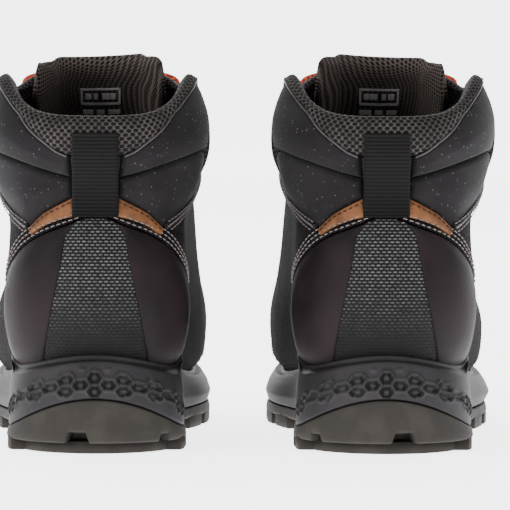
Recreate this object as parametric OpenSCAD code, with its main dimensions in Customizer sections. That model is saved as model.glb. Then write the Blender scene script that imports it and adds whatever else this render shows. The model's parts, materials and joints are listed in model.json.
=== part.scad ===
// A pair of mid-cut hiking boots, standing side by side, toes towards +Y.
// Every upper panel is a thin shell cut from one last-shaped surface, which
// last(u, v) gives: u runs round the boot (0 at the back seam, 90 at the side,
// 180 at the front line, negative on the inner side of the foot) and v runs
// up it (0 at the feather line where the upper meets the sole, 1 at the rim).

/* [Boot] */
// Length of the sole from heel to toe
sole_len = 305; // [270:1:330]
// Height of the collar at the back
collar_back_h = 155; // [135:1:175]
// Height of the shaft at the top of the laces
collar_front_h = 173; // [150:1:195]
// How far the rim dips between its sides and the lacing
rim_scoop = 6.5; // [0:0.5:8]
// Half width of the upper round the heel
heel_half = 42; // [37:0.5:47]
// Half width of the upper at the ball, outer side
ball_half_out = 54; // [47:0.5:60]
// Half width of the upper at the ball, inner side
ball_half_in = 50.5; // [44:0.5:56]
// Distance between the centre lines of the two boots
pair_gap = 134; // [126:1:180]

/* [Sole] */
// Height of the tread lugs
lug_h = 5; // [3:0.5:7]
// Height of the top face of the outsole plate
plate_top = 10; // [9:0.5:12]
// Height of the feather line at the heel
feather_back_h = 38; // [34:0.5:42]
// Height of the feather line at the toe
feather_front_h = 31; // [29:0.5:36]
// Rise of the tread under the toe tip
toe_spring = 12; // [6:0.5:14]
// Height of the arched top of the heel wrap, at the back
wrap_h = 25; // [20:0.5:28]
// Width that the midsole stands out beyond the upper at its lip
lip_out = 2.4; // [1.5:0.1:4]

/* [Upper] */
// Thickness of the leather and textile panels
panel_t = 1.8; // [1.2:0.1:2.4]
// Extra thickness of the padding round the ankle
pad_t = 4; // [2:0.5:6]
// Thickness of the mesh lining
lining_t = 1.3; // [0.8:0.1:2]
// Thickness of the moulded stiffeners
stiff_t = 1; // [0.6:0.1:1.2]
// Thickness of the padded tongue
tongue_t = 7; // [4:0.5:9]
// Clearance between neighbouring soft pieces
gap = 0.3; // [0.2:0.05:0.5]
// Width of the pull tab webbing
tab_w = 21.5; // [16:0.5:26]
// Thickness of the webbing
webbing_t = 1.6; // [1:0.1:2.2]

/* [Lacing] */
// Diameter of the round lace
lace_d = 4; // [3:0.1:5]
// Length of the metal lace tips
aglet_len = 22; // [15:1:30]

/* [Hidden] */
SIDES = ["left", "right"];
PIECES = [
    "outsole", "midsole", "shank", "insole_board", "footbed", "lining",
    "heel_stiffener", "toe_stiffener", "toe_bumper", "vamp",
    "quarter_lateral", "quarter_medial", "heel_strip",
    "heel_leather_lateral", "heel_leather_medial",
    "accent_lateral", "accent_medial",
    "collar_lower_lateral", "collar_lower_medial",
    "collar_upper_lateral", "collar_upper_medial",
    "backstay", "pull_tab", "tongue", "eyestay_lateral", "eyestay_medial",
    "lace_hooks", "lace", "lace_bow", "aglets"];
$fn = 24;

// Rows of the last-shaped surface, from the feather line to above the rim:
// v, back inset, back height share, front length share, front height share,
// heel, outer ball and inner ball half-width shares, arch pinch,
// length of the heel round, length of the toe round, dip of the side.
back_rise = collar_back_h - feather_back_h;
front_rise = collar_front_h - feather_front_h;
LAST = [
    [0.00, 12, 0.00, 0.964, 0.00, 0.857, 0.889, 0.851, 3, 42, 80, 8],
    [0.10, 7, 0.10, 0.985, 0.10, 0.940, 0.981, 0.970, 5, 44, 84, 14],
    [0.22, 4, 0.24, 0.974, 0.22, 1.000, 1.000, 1.000, 5, 46, 84, 13],
    [0.34, 5, 0.375, 0.898, 0.317, 1.000, 0.889, 0.950, 2, 46, 80, 9],
    [0.46, 8, 0.505, 0.797, 0.38, 0.971, 0.778, 0.911, 0, 46, 76, 4],
    [0.58, 12, 0.63, 0.682, 0.472, 0.983, 0.704, 0.891, 0, 46, 66, 0],
    [0.70, 13, 0.75, 0.584, 0.62, 1.107, 0.741, 0.871, 0, 46, 58, 0],
    [0.85, 9, 0.89, 0.492, 0.831, 1.214, 0.833, 0.891, 0, 48, 54, 0],
    [1.00, 10, 1.00, 0.420, 1.00, 1.085, 0.852, 0.911, 0, 46, 50, 0],
    [1.12, 17, 1.07, 0.375, 1.10, 0.965, 0.815, 0.871, 0, 42, 46, 0]];

function smooth(a, b, x) = let (t = min(1, max(0, (x - a) / (b - a)))) t * t * (3 - 2 * t);
function mix(a, b, t) = a + (b - a) * t;
function turned(line) = [for (i = [len(line) - 1:-1:0]) line[i]];
function flip(points) = [for (i = [len(points) - 1:-1:0]) [-points[i][0], points[i][1]]];

// A smooth curve through rows whose first entry is the parameter.
function slope(rows, i) =
    let (a = rows[max(0, i - 1)], b = rows[min(len(rows) - 1, i + 1)])
    (b - a) / (b[0] - a[0]);
function row_at(rows, x) =
    let (i = max([for (k = [0:len(rows) - 2]) (k == 0 || rows[k][0] <= x) ? k : 0]),
         h = rows[i + 1][0] - rows[i][0],
         t = (x - rows[i][0]) / h, q = t * t * (3 - 2 * t))
    rows[i] * (1 - q) + rows[i + 1] * q
    + slope(rows, i) * h * t * (1 - t) * (1 - t) - slope(rows, i + 1) * h * t * t * (1 - t);

// One closed outline round the foot: back y, front y, heel half width, outer
// and inner ball half widths, arch pinch, heel round, toe round.
function outline(u, yb, yf, hw, bo, bi, arch, heel_round, toe_round) =
    let (s = u > 180 ? u - 360 : u, w = abs(s),
         y = w < 60 ? yb + heel_round * (1 - cos(w * 1.5))
           : w > 120 ? yf - toe_round * (1 - cos((180 - w) * 1.5))
           : mix(yb + heel_round, yf - toe_round, (w - 60) / 60),
         e = w < 60 ? sin(w * 1.5) : w > 120 ? sin((180 - w) * 1.5) : 1,
         c = (y - yb) / (yf - yb),
         ball = s >= 0 ? bo : bi,
         pinch = (s >= 0 ? 0.25 : 1) * arch * exp(-pow((c - 0.42) / 0.13, 2)))
    [(s >= 0 ? 1 : -1) * e * (mix(hw, ball, smooth(0.30, 0.68, c)) - pinch), y, c];

// How far a place is up from the back's height to the front's: straight along
// the foot below the ankle, and at the rim soon up to level sides.
function rise(c, v) = mix(c, smooth(0, 0.38, c), smooth(0.78, 0.97, v));

// The dip of the rim on its way from the side to the lacing.
function scoop(c, v) = rim_scoop * smooth(0.4, 0.58, c) * (1 - smooth(0.76, 0.92, c))
    * smooth(0.8, 0.97, v) * (1 - smooth(1.02, 1.1, v));

function skin(u, v) =
    let (r = row_at(LAST, v),
         p = outline(u, r[1], r[3] * sole_len, r[5] * heel_half, r[6] * ball_half_out,
                     r[7] * ball_half_in, r[8], r[9], r[10]),
         zb = feather_back_h + r[2] * back_rise,
         zf = feather_front_h + r[4] * front_rise)
    [p[0], p[1], mix(zb, zf, rise(p[2], v)) - scoop(p[2], v)
        - r[11] * pow(sin(180 * pow(max(0, p[2]), 1.5)), 2)];

function unit(p) = p / norm(p);
function last(u, v, off = 0) =
    let (du = skin(u + 1.5, v) - skin(u - 1.5, v), dv = skin(u, v + 0.01) - skin(u, v - 0.01))
    skin(u, v) + off * unit(cross(du, dv));

// Thickness of the ankle padding at a place on the surface.
function pad_at(u, v) = pad_t * smooth(0.5, 0.7, v) * (1 - smooth(108, 124, abs(u)));
function lining_out(u, v) = -(panel_t + stiff_t + 3 * gap + pad_at(u, v));

// A shell from a grid of points: outer[i][j] and inner[i][j], i along the
// piece and j across it.
module shell(outer, inner) {
    ni = len(outer);
    nj = len(outer[0]);
    n = ni * nj;
    function o(i, j) = i * nj + j;
    points = concat([for (r = outer) each r], [for (r = inner) each r]);
    faces = concat(
        [for (i = [0:ni - 2]) for (j = [0:nj - 2]) each [
            [o(i, j), o(i, j + 1), o(i + 1, j + 1)], [o(i, j), o(i + 1, j + 1), o(i + 1, j)],
            [n + o(i, j), n + o(i + 1, j + 1), n + o(i, j + 1)],
            [n + o(i, j), n + o(i + 1, j), n + o(i + 1, j + 1)]]],
        [for (i = [0:ni - 2]) each [
            [o(i, 0), o(i + 1, 0), n + o(i + 1, 0)], [o(i, 0), n + o(i + 1, 0), n + o(i, 0)],
            [o(i, nj - 1), n + o(i + 1, nj - 1), o(i + 1, nj - 1)],
            [o(i, nj - 1), n + o(i, nj - 1), n + o(i + 1, nj - 1)]]],
        [for (j = [0:nj - 2]) each [
            [o(0, j), n + o(0, j + 1), o(0, j + 1)], [o(0, j), n + o(0, j), n + o(0, j + 1)],
            [o(ni - 1, j), o(ni - 1, j + 1), n + o(ni - 1, j + 1)],
            [o(ni - 1, j), n + o(ni - 1, j + 1), n + o(ni - 1, j)]]]);
    polyhedron(points, faces);
}

// A point at share t along an open line of [u, v] points.
function along(line, t) =
    let (s = t * (len(line) - 1), i = min(len(line) - 2, floor(s)))
    mix(line[i], line[i + 1], s - i);

// A panel between two lines of [u, v] points, given so that going along them
// and then from the first to the second turns to the left seen from outside.
module panel(first, second, steps, rows, out = 0, in = -panel_t, puff = 0, padded = false) {
    grid = [for (i = [0:steps]) [for (j = [0:rows])
        mix(along(first, i / steps), along(second, i / steps), j / rows)]];
    function swell(i, j) = puff * sin(180 * i / steps) * sin(180 * j / rows);
    shell(
        [for (i = [0:steps]) [for (j = [0:rows])
            last(grid[i][j][0], grid[i][j][1], out + swell(i, j))]],
        [for (i = [0:steps]) [for (j = [0:rows])
            last(grid[i][j][0], grid[i][j][1],
                 in - (padded ? pad_at(grid[i][j][0], grid[i][j][1]) : 0))]]);
}

// The outer piece as given, or its mirror twin on the inner side.
module side_panel(inner_side, first, second, steps, rows, out = 0, in = -panel_t, puff = 0, padded = false) {
    if (inner_side) {
        panel(flip(first), flip(second), steps, rows, out, in, puff, padded);
    } else {
        panel(first, second, steps, rows, out, in, puff, padded);
    }
}

// Lines that neighbouring panels share, as [u, v] points on the outer side.
DOME = [[9.5, 0.533], [16, 0.515], [26, 0.488], [37, 0.445], [48, 0.38], [58, 0.30],
        [66, 0.18], [70, 0.003]];
STRIP = [[9.5, 0.533], [13.2, 0.48], [14.8, 0.38], [17, 0.28], [20.7, 0.17], [25.2, 0.06],
         [26.2, 0.03], [26.2, 0.003]];
ACCENT_TOP = [[9.5, 0.628], [16, 0.602], [24, 0.570], [33, 0.513]];
ACCENT_LOW = [[9.5, 0.557], [16, 0.546], [23, 0.527], [31.5, 0.490]];
SEAM = [[9.5, 0.706], [16, 0.722], [24, 0.746], [33, 0.773], [44, 0.797], [54, 0.808],
        [62, 0.795]];
STRAP = [[9.5, 0.632], [16, 0.606], [24, 0.574], [34, 0.516], [42, 0.552], [51, 0.60],
         [62, 0.652]];
MESH_EDGE = [[9.5, 0.797], [14, 0.820], [19, 0.865], [25, 0.912], [32, 0.965], [41, 0.985],
             [52, 0.99], [63, 0.99], [76, 0.99], [95, 0.99], [110, 0.99], [118, 0.99]];
step_v = gap / 110;

function lower(line, dv) = [for (p = line) [p[0], p[1] - dv]];
function shift_u(line, du) = [for (p = line) [p[0] + du, p[1]]];

// ---- Sole ----

// How far the tread is lifted at a place along the foot.
function spring(y) = toe_spring * pow(max(0, y / sole_len - 0.74) / 0.26, 2);
// Outline of the sole: inset all round, and extra width at the ball.
function sole(u, inset, ball_out = 0, ball_in = 0) =
    outline(u, inset, sole_len - inset, heel_half - inset, ball_half_out + 3.5 + ball_out - inset,
            ball_half_in + 2.5 + ball_in - inset, 6, 42, 96);
// Top edge of the heel wrap, arched across the back, level along the sides.
function wrap_z(u) =
    let (p = sole(u, 0), w = abs(u) < 60 ? 1 - pow(sin(abs(u) * 1.5), 2) : 0)
    mix(plate_top, wrap_h, w) + spring(p[1]);
function at_z(p, z) = [p[0], p[1], z];

sole_steps = 48;
ROUND = [for (k = [0:sole_steps - 1]) -180 + 360 * k / sole_steps];
wrap_t = 4;

// A closed solid from rings of points round the foot, first ring lowest
// outside, last ring the floor of its hollow. Ring point k mirrors point n - k.
module cup(rings) {
    n = len(rings[0]);
    m = len(rings);
    last_ring = (m - 1) * n;
    sides = [for (r = [0:m - 2]) for (k = [0:n - 1]) let (k2 = (k + 1) % n, a = r * n, b = a + n) each [
        [a + k, b + k2, a + k2], [a + k, b + k, b + k2]]];
    caps = [for (k = [0:n / 2 - 1]) let (j = (n - k) % n, j2 = n - k - 1) each [
        [k, k + 1, j2], [k, j2, j],
        [last_ring + k, last_ring + j2, last_ring + k + 1],
        [last_ring + k, last_ring + j, last_ring + j2]]];
    function flat(f) = f[0] != f[1] && f[1] != f[2] && f[0] != f[2];
    polyhedron([for (r = rings) each r], [for (f = concat(sides, caps)) if (flat(f)) f]);
}

// One tread lug on the rim of the sole between two places round the foot.
module rim_lug(u1, u2, depth) {
    a = sole(u1, 0.4);
    b = sole((u1 + u2) / 2, 0.2);
    c = sole(u2, 0.4);
    function inward(p) = [p[0] - sign(p[0]) * depth, p[1]];
    y = b[1];
    translate([0, 0, spring(y)])
        linear_extrude(lug_h + 0.6)
            polygon([[a[0], a[1]], [b[0], b[1]], [c[0], c[1]], inward(c), inward(b), inward(a)]);
}

// The lug that follows the back of the heel, set in from its face.
module heel_lug() {
    linear_extrude(lug_h + 0.6)
        polygon(concat([for (u = [-52:8:52]) let (p = sole(u, 5)) [p[0], p[1]]],
                       [for (u = [52:-8:-52]) let (p = sole(u, 17)) [p[0], p[1]]]));
}

// A chevron lug across the middle of the sole.
module chevron(x, y, w, d, dir = 1) {
    translate([x, y, spring(y)])
        linear_extrude(lug_h + 0.6)
            polygon([[-w / 2, 0], [0, dir * d * 0.5], [w / 2, 0], [w / 2, d * 0.7],
                     [0, d * 0.7 + dir * d * 0.5], [-w / 2, d * 0.7]]);
}

module outsole() {
    color("#4b4743") difference() {
        union() {
            cup([
                [for (u = ROUND) let (p = sole(u, 0.8)) at_z(p, lug_h + spring(p[1]))],
                [for (u = ROUND) let (p = sole(u, 0)) at_z(p, lug_h + 1.5 + spring(p[1]))],
                [for (u = ROUND) at_z(sole(u, 0.6), wrap_z(u))],
                [for (u = ROUND) at_z(sole(u, wrap_t), wrap_z(u))],
                [for (u = ROUND) let (p = sole(u, wrap_t + 0.2)) at_z(p, plate_top - 0.6 + spring(p[1]))]]);
            for (side = [-1, 1]) {
                for (u = [47, 61, 70, 79]) rim_lug(side * u, side * (u + 7), 13);
                for (u = [99, 110, 120, 130, 141, 153]) rim_lug(side * u, side * (u + 8), 15);
            }
            heel_lug();
            for (k = [0:2]) chevron(0, 30 + 17 * k, 40 - 3 * k, 13, -1);
            for (k = [0:5]) chevron(1.5, 182 + 18 * k, 52 - 3 * k, 13);
        }
        // Grooves that run out through the lower edge of the back face.
        for (g = [[8, 9, 10.4], [-31.5, 4.5, 8.4]]) {
            translate([g[0], -2, lug_h - 1])
                rotate([90, 0, 180])
                    linear_extrude(9)
                        polygon([[-g[1] / 2 - 2, 0], [g[1] / 2 + 2, 0], [g[1] / 2, g[2] - lug_h],
                                 [-g[1] / 2, g[2] - lug_h]]);
        }
    }
}

// Height share at which the midsole lip ends on the upper.
function lip_v(u) =
    let (w = abs(u > 180 ? u - 360 : u))
    w < 60 ? mix(0.068, 0.014, smooth(0, 50, w)) : mix(0.014, 0.035, smooth(130, 180, w));
glue = 0.1;

module midsole() {
    function between(u, f, inset, bo, bi) =
        let (z0 = wrap_z(u) + glue, z1 = skin(u, lip_v(u))[2])
        at_z(sole(u, inset, bo, bi), mix(z0, z1, f));
    color("#333133") cup([
        [for (u = ROUND) let (p = sole(u, wrap_t + 0.6)) at_z(p, plate_top - 0.6 + glue + spring(p[1]))],
        [for (u = ROUND) at_z(sole(u, wrap_t + 0.4), wrap_z(u) + glue)],
        [for (u = ROUND) at_z(sole(u, 1), wrap_z(u) + glue)],
        [for (u = ROUND) between(u, 0.3, 1, 2.2, 1.2)],
        [for (u = ROUND) between(u, 0.8, 2.6, -1, -1.5)],
        [for (u = ROUND) last(u, lip_v(u), lip_out)],
        [for (u = ROUND) last(u, lip_v(u), gap)],
        [for (u = ROUND) last(u, 0.001, gap)],
        [for (u = ROUND) let (p = last(u, 0, -1)) at_z(p, skin(u, 0)[2] - 0.5)]]);
}

// A flat piece that fills the bottom of the upper: inset from the last,
// from height low to height high above the feather line.
module slab(inset, low, high, u_from = 3, u_to = 177, waist = 1, steps = 18) {
    rows = [for (k = [0:steps]) let (u = mix(u_from, u_to, k / steps),
            a = last(u, 0, -inset), b = last(-u, 0, -inset), z = skin(u, 0)[2]) [a, b, z]];
    function top(k) = [for (p = [rows[k][0], rows[k][1]]) [p[0] * waist, p[1], rows[k][2] + high]];
    function bottom(k) = [for (p = [rows[k][0], rows[k][1]]) [p[0] * waist, p[1], rows[k][2] + low]];
    shell([for (k = [0:steps]) top(k)], [for (k = [0:steps]) bottom(k)]);
}

inner_wall = panel_t + stiff_t + 3 * gap + lining_t;
shank_t = 1.2;
board_t = 1.4;
bed_t = 4.5;
module shank() {
    color("#8d8f92") slab(inner_wall + 2, -0.4, shank_t - 0.4, 50, 100, 0.28, 6);
}
module insole_board() {
    color("#b9a88a") slab(inner_wall + gap, shank_t - 0.3, shank_t - 0.3 + board_t);
}
module footbed() {
    color("#5b5c58") slab(inner_wall + gap, shank_t - 0.2 + board_t, shank_t - 0.2 + board_t + bed_t);
}

// ---- Inside of the upper ----

throat_u = 158;
function on_line(line, u) =
    let (w = abs(u), i = max([for (k = [0:len(line) - 2]) (k == 0 || line[k][0] <= w) ? k : 0]),
         t = min(1, max(0, (w - line[i][0]) / (line[i + 1][0] - line[i][0]))))
    mix(line[i][1], line[i + 1][1], t);

SHAFT_U = [0, 5, 9.5, 14, 19, 25, 32, 41, 52, 66, 82, 98, 113, 127, 140, 150, throat_u];
VAMP_U = [throat_u + 0.3, 164, 172, 180];
WALL_V = [0.03, 0.1, 0.2, 0.33, 0.46, 0.58, 0.67, 0.76];
rim_v = 1.012;
// Closed section of the lining at one place round the foot, as [v, offset].
function lining_section(u) =
    let (edge = on_line(MESH_EDGE, u) + step_v, w = u > 180 ? 360 - u : abs(u),
         short = 0.455 / rim_v)
    w <= throat_u
    ? concat(
        [for (v = WALL_V) [v, lining_out(u, v) - lining_t]],
        [[0.88, lining_out(u, 0.88) - lining_t], [0.965, lining_out(u, 0.965) - lining_t + 0.6],
         [rim_v - 0.004, -inner_wall + 0.8],
         [rim_v, -2.2], [0.999, -0.2],
         [edge + 0.003, 0.3], [edge, 0], [edge, lining_out(u, edge)]],
        [for (v = turned(concat(WALL_V, [mix(0.76, edge, 0.5)]))) if (v < edge) [v, lining_out(u, v)]])
    : concat(
        [for (v = WALL_V) [v * short, lining_out(u, 0) - lining_t]],
        [for (v = [0.965, 0.99, 1, 1.004]) [v * short, lining_out(u, 0) - lining_t]],
        [for (v = [1.004, 1, 0.995, 0.985]) [v * short, lining_out(u, 0)]],
        [for (v = turned(concat(WALL_V, [0.92]))) [v * short, lining_out(u, 0)]]);

// A solid swept from closed sections, each listed up one side and down the other.
module swept(sections) {
    n = len(sections);
    m = len(sections[0]);
    sides = [for (i = [0:n - 2]) for (j = [0:m - 1]) let (j2 = (j + 1) % m, a = i * m, b = a + m) each [
        [a + j, b + j2, a + j2], [a + j, b + j, b + j2]]];
    end = (n - 1) * m;
    caps = [for (j = [0:floor(m / 2) - 1]) let (k = m - 1 - j) each [
        [j, j + 1, k], [j + 1, k - 1, k], [end + j, end + k, end + j + 1], [end + j + 1, end + k, end + k - 1]]];
    function flat(f) = f[0] != f[1] && f[1] != f[2] && f[0] != f[2];
    polyhedron([for (s = sections) each s], [for (f = concat(sides, caps)) if (flat(f)) f]);
}

module lining() {
    shaft = concat([for (i = [len(SHAFT_U) - 1:-1:1]) -SHAFT_U[i]], SHAFT_U);
    front = concat(VAMP_U, [for (i = [len(VAMP_U) - 2:-1:0]) 360 - VAMP_U[i]]);
    color("#4a4645") {
        swept([for (u = shaft) [for (p = lining_section(u)) last(u, p[0], p[1])]]);
        swept([for (u = front) [for (p = lining_section(u)) last(u, p[0], p[1])]]);
    }
}

stiff_out = -(panel_t + 1.4 * gap);
module heel_stiffener() {
    line_low = [for (u = [-64:16:64]) [u, 0.03]];
    line_top = [for (u = [-64:16:64]) [u * 0.8, 0.42 - 0.14 * pow(u / 64, 2)]];
    color("#d8d2c4") panel(line_low, line_top, 16, 4, stiff_out, stiff_out - stiff_t);
}
module toe_stiffener() {
    line_low = [for (u = [132:8:228]) [u, 0.03]];
    line_top = [for (u = [132:8:228]) [180 + (u - 180) * 0.85, 0.21 - 0.08 * pow((u - 180) / 48, 2)]];
    color("#d8d2c4") panel(line_low, line_top, 12, 4, stiff_out - 0.2, stiff_out - stiff_t);
}

// ---- Outside of the upper ----

// A line over the front, made from its outer half.
function over_front(line) = concat(line, [for (i = [len(line) - 2:-1:0]) [360 - line[i][0], line[i][1]]]);

CAP_TOP = [[114, 0.018], [121, 0.05], [131, 0.125], [143, 0.18], [160, 0.225], [180, 0.245]];
THROAT_LOW = [[116, 0.035], [125, 0.125], [141, 0.275], [157, 0.395], [169, 0.468], [180, 0.48]];

module toe_bumper() {
    low = [[114, 0.004], [124, 0.004], [136, 0.004], [150, 0.004], [165, 0.004], [180, 0.004]];
    color("#2e2c2d") panel(over_front(low), over_front(lower(CAP_TOP, step_v)), 20, 5);
}
module vamp() {
    low = concat([[119, 0.041]], [for (i = [1:5]) CAP_TOP[i]]);
    color("#4a4440") panel(over_front(lower(low, -step_v)), over_front(THROAT_LOW), 20, 4);
}

module heel_strip() {
    edge = shift_u(STRIP, -gap);
    rising = concat([for (i = [len(edge) - 1:-1:0]) edge[i]], [[4, 0.549]]);
    color("#2b2b2b") panel(rising, [for (p = rising) [-p[0], p[1]]], 16, 4);
}

module heel_leather(inner_side) {
    outer_edge = [for (i = [len(DOME) - 1:-1:0]) DOME[i]];
    strip_edge = concat([for (i = [len(STRIP) - 1:-1:1]) [STRIP[i][0] + 0.3, STRIP[i][1]]], [[11, 0.505]]);
    color("#413538") side_panel(inner_side, outer_edge, strip_edge, 14, 5);
}
module heel_leather_lateral() { heel_leather(false); }
module heel_leather_medial() { heel_leather(true); }

module quarter(inner_side) {
    low = concat(
        lower([for (i = [0:6]) DOME[i]], -2.5 * step_v),
        [[71.5, 0.004], [92, 0.004], [113, 0.004], [118, 0.065], [124, 0.135], [140, 0.285],
         [156, 0.405], [169, 0.478]]);
    high = concat(
        lower(ACCENT_LOW, step_v),
        lower([[36, 0.522], [43, 0.553], [51, 0.60], [60, 0.643], [76, 0.692], [95, 0.732], [112, 0.782],
               [118.8, 0.812], [119.2, 0.985], [140, 0.985], [161, 0.985]], 2 * step_v));
    color("#3b3637") side_panel(inner_side, low, high, 28, 6);
}
module quarter_lateral() { quarter(false); }
module quarter_medial() { quarter(true); }

module accent(inner_side) {
    color("#9a6a45") side_panel(inner_side, ACCENT_LOW, ACCENT_TOP, 6, 2, 0.3);
}
module accent_lateral() { accent(false); }
module accent_medial() { accent(true); }

padded_in = -(panel_t + stiff_t);
module collar_lower(inner_side) {
    color("#3c3c40") side_panel(inner_side, STRAP, lower(SEAM, step_v), 14, 4, 0.1, padded_in + 0.2, 1.6, true);
}
module collar_lower_lateral() { collar_lower(false); }
module collar_lower_medial() { collar_lower(true); }

module collar_upper(inner_side) {
    low = concat(
        lower([for (i = [0:5]) SEAM[i]], -step_v),
        [[64, 0.80], [65, 0.68], [77, 0.702], [95, 0.742], [112, 0.792], [118, 0.822]]);
    color("#3a3a3e") side_panel(inner_side, low, lower(MESH_EDGE, step_v), 22, 4, 0.1, padded_in + 0.2, 1.2, true);
}
module collar_upper_lateral() { collar_upper(false); }
module collar_upper_medial() { collar_upper(true); }

module backstay() {
    low = [[-9, 0.56], [-3, 0.563], [3, 0.563], [9, 0.56]];
    high = [[-9, 0.793], [-3, 0.793], [3, 0.793], [9, 0.793]];
    color("#242424") panel(low, high, 3, 6, 0, padded_in + 0.2, 0, true);
}

tab_low_v = 0.553;
tab_top_v = 0.908;
module pull_tab() {
    rows = 8;
    function at(x, v, off) = let (p = last(0, v, off)) [x, p[1] + 0.0012 * x * x * 4, p[2]];
    function lift(j) = 0.8 + 2.4 * pow(sin(180 * j / rows), 2);
    xs = [for (k = [-1:0.5:1]) k * tab_w / 2];
    color("#1f1e1e") shell(
        [for (x = xs) [for (j = [0:rows]) at(x, mix(tab_low_v, tab_top_v, j / rows), lift(j) + webbing_t)]],
        [for (x = xs) [for (j = [0:rows]) at(x, mix(tab_low_v, tab_top_v, j / rows), lift(j))]]);
}

// ---- Tongue and lacing ----

tongue_low_v = 0.475;
tongue_top_v = 1.13;
// How far round the front the tongue's edge lies at a height.
function tongue_edge(v) = mix(153, 134, smooth(0.48, 0.95, v));
function tongue_out(u, v) =
    let (w = u > 180 ? 360 - u : u)
    -(inner_wall + pad_t * smooth(0.5, 0.7, v) * (1 - smooth(150, 160, w)) + 3 * gap)
    + (inner_wall + 3) * smooth(170, 177, w) * smooth(0.49, 0.54, v) * (1 - smooth(1.01, 1.09, v));
module tongue() {
    steps = 16;
    rows = 10;
    function v_at(j) = mix(tongue_low_v, tongue_top_v, j / rows);
    function u_at(i, v) = mix(tongue_edge(v), 360 - tongue_edge(v), i / steps);
    function top_dip(i, j) = 0.035 * pow(abs(2 * i / steps - 1), 6) * pow(j / rows, 3);
    function thick(i, j) =
        tongue_t * (1 - 0.6 * pow(abs(2 * i / steps - 1), 4)) * (1 - 0.5 * pow(abs(2 * j / rows - 1), 6));
    function at(i, j, depth) =
        let (v = v_at(j) - top_dip(i, j), u = u_at(i, v)) last(u, v, tongue_out(u, v) - depth);
    color("#2a2726") shell(
        [for (i = [0:steps]) [for (j = [0:rows]) at(i, j, 0)]],
        [for (i = [0:steps]) [for (j = [0:rows]) at(i, j, thick(i, j))]]);
}

THROAT = [[169.3, 0.487], [168, 0.56], [166, 0.66], [164, 0.78], [162, 0.9], [161, 0.982]];
stay_t = 1.2;
stay_lift = 4 * gap;
module eyestay(inner_side) {
    outer_edge = [for (p = THROAT) [p[0] - 12, p[1] - 0.01]];
    strap_low = [[34.5, 0.507], [43, 0.545], [60, 0.634], [76, 0.684], [95, 0.722], [118, 0.772], [134, 0.80],
                 [150.5, 0.81]];
    strap_top = [[33.5, 0.532], [42, 0.572], [59, 0.664], [75, 0.722], [94, 0.768], [117, 0.825], [133, 0.86],
                 [149.5, 0.88]];
    lift = stay_lift + 1.4;
    color("#2c292a") {
        side_panel(inner_side, THROAT, outer_edge, 10, 2, stay_lift + stay_t, stay_lift);
        side_panel(inner_side, strap_low, strap_top, 14, 2, lift + stay_t, lift);
    }
}
module eyestay_lateral() { eyestay(false); }
module eyestay_medial() { eyestay(true); }

HOOK_V = [0.52, 0.62, 0.73, 0.84, 0.945];
function hook_u(v) = on_line_v(THROAT, v) - 6;
function on_line_v(line, v) =
    let (i = max([for (k = [0:len(line) - 2]) (k == 0 || line[k][1] <= v) ? k : 0]),
         t = min(1, max(0, (v - line[i][1]) / (line[i + 1][1] - line[i][1]))))
    mix(line[i][0], line[i + 1][0], t);
function outward(u, v) = unit(last(u, v, 1) - skin(u, v));

// Stands its children on a point with their z axis along a direction.
module aim(p, d) {
    translate(p) rotate([0, acos(d[2] / norm(d)), atan2(d[1], d[0])]) children();
}

hook_base = stay_lift + stay_t + 0.2;
hook_post_r = 1.1;
module lace_hooks() {
    color("#55565a") for (side = [1, -1]) {
        for (v = HOOK_V) {
            u = hook_u(v);
            aim(last(side * u, v, hook_base), outward(side * u, v)) {
                cylinder(h = 0.8, r = 3.3);
                cylinder(h = lace_d + 3.1, r = hook_post_r);
                translate([0, 0, lace_d + 2.3]) cylinder(h = 0.8, r = 2.2);
            }
        }
    }
}

// The way that the laced front faces: no lace runs along it.
LACE_FACE = [0, 0.8, 0.6];

// A round cord through points, with one ring at each.
module cord(points, d) {
    sides = 8;
    n = len(points);
    function ahead(i) = points[min(n - 1, i + 1)] - points[max(0, i - 1)];
    function ring(i) =
        let (t = unit(ahead(i)), a = unit(cross(t, LACE_FACE)), b = cross(t, a))
        [for (k = [0:sides - 1]) points[i] + d / 2 * (cos(360 * k / sides) * a + sin(360 * k / sides) * b)];
    faces = concat(
        [for (i = [0:n - 2]) for (k = [0:sides - 1]) let (a = i * sides, b = a + sides, k2 = (k + 1) % sides) each [
            [a + k, b + k2, a + k2], [a + k, b + k, b + k2]]],
        [[for (k = [0:sides - 1]) k]], [[for (k = [sides - 1:-1:0]) (n - 1) * sides + k]]);
    polyhedron([for (i = [0:n - 1]) each ring(i)], faces);
}

lace_lift = hook_base + 0.8 + lace_d / 2 + 0.8;
// A place on the laced front, moved sideways and up by millimetres.
function beside(u, v, side, across, up, off) =
    let (su = norm(skin(u + 1, v) - skin(u - 1, v)) / 2, sv = norm(skin(u, v + 0.01) - skin(u, v - 0.01)) / 0.02)
    last(side * (u + across / su), v + up / sv, off);
// The lace round hook number k on one side, past its outer side.
function round_hook(k, side) =
    let (r = hook_post_r + lace_d / 2 + 2.4)
    [for (a = [-70, 0, 70]) beside(hook_u(HOOK_V[k]), HOOK_V[k], side, -r * cos(a), r * sin(a), lace_lift)];
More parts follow.
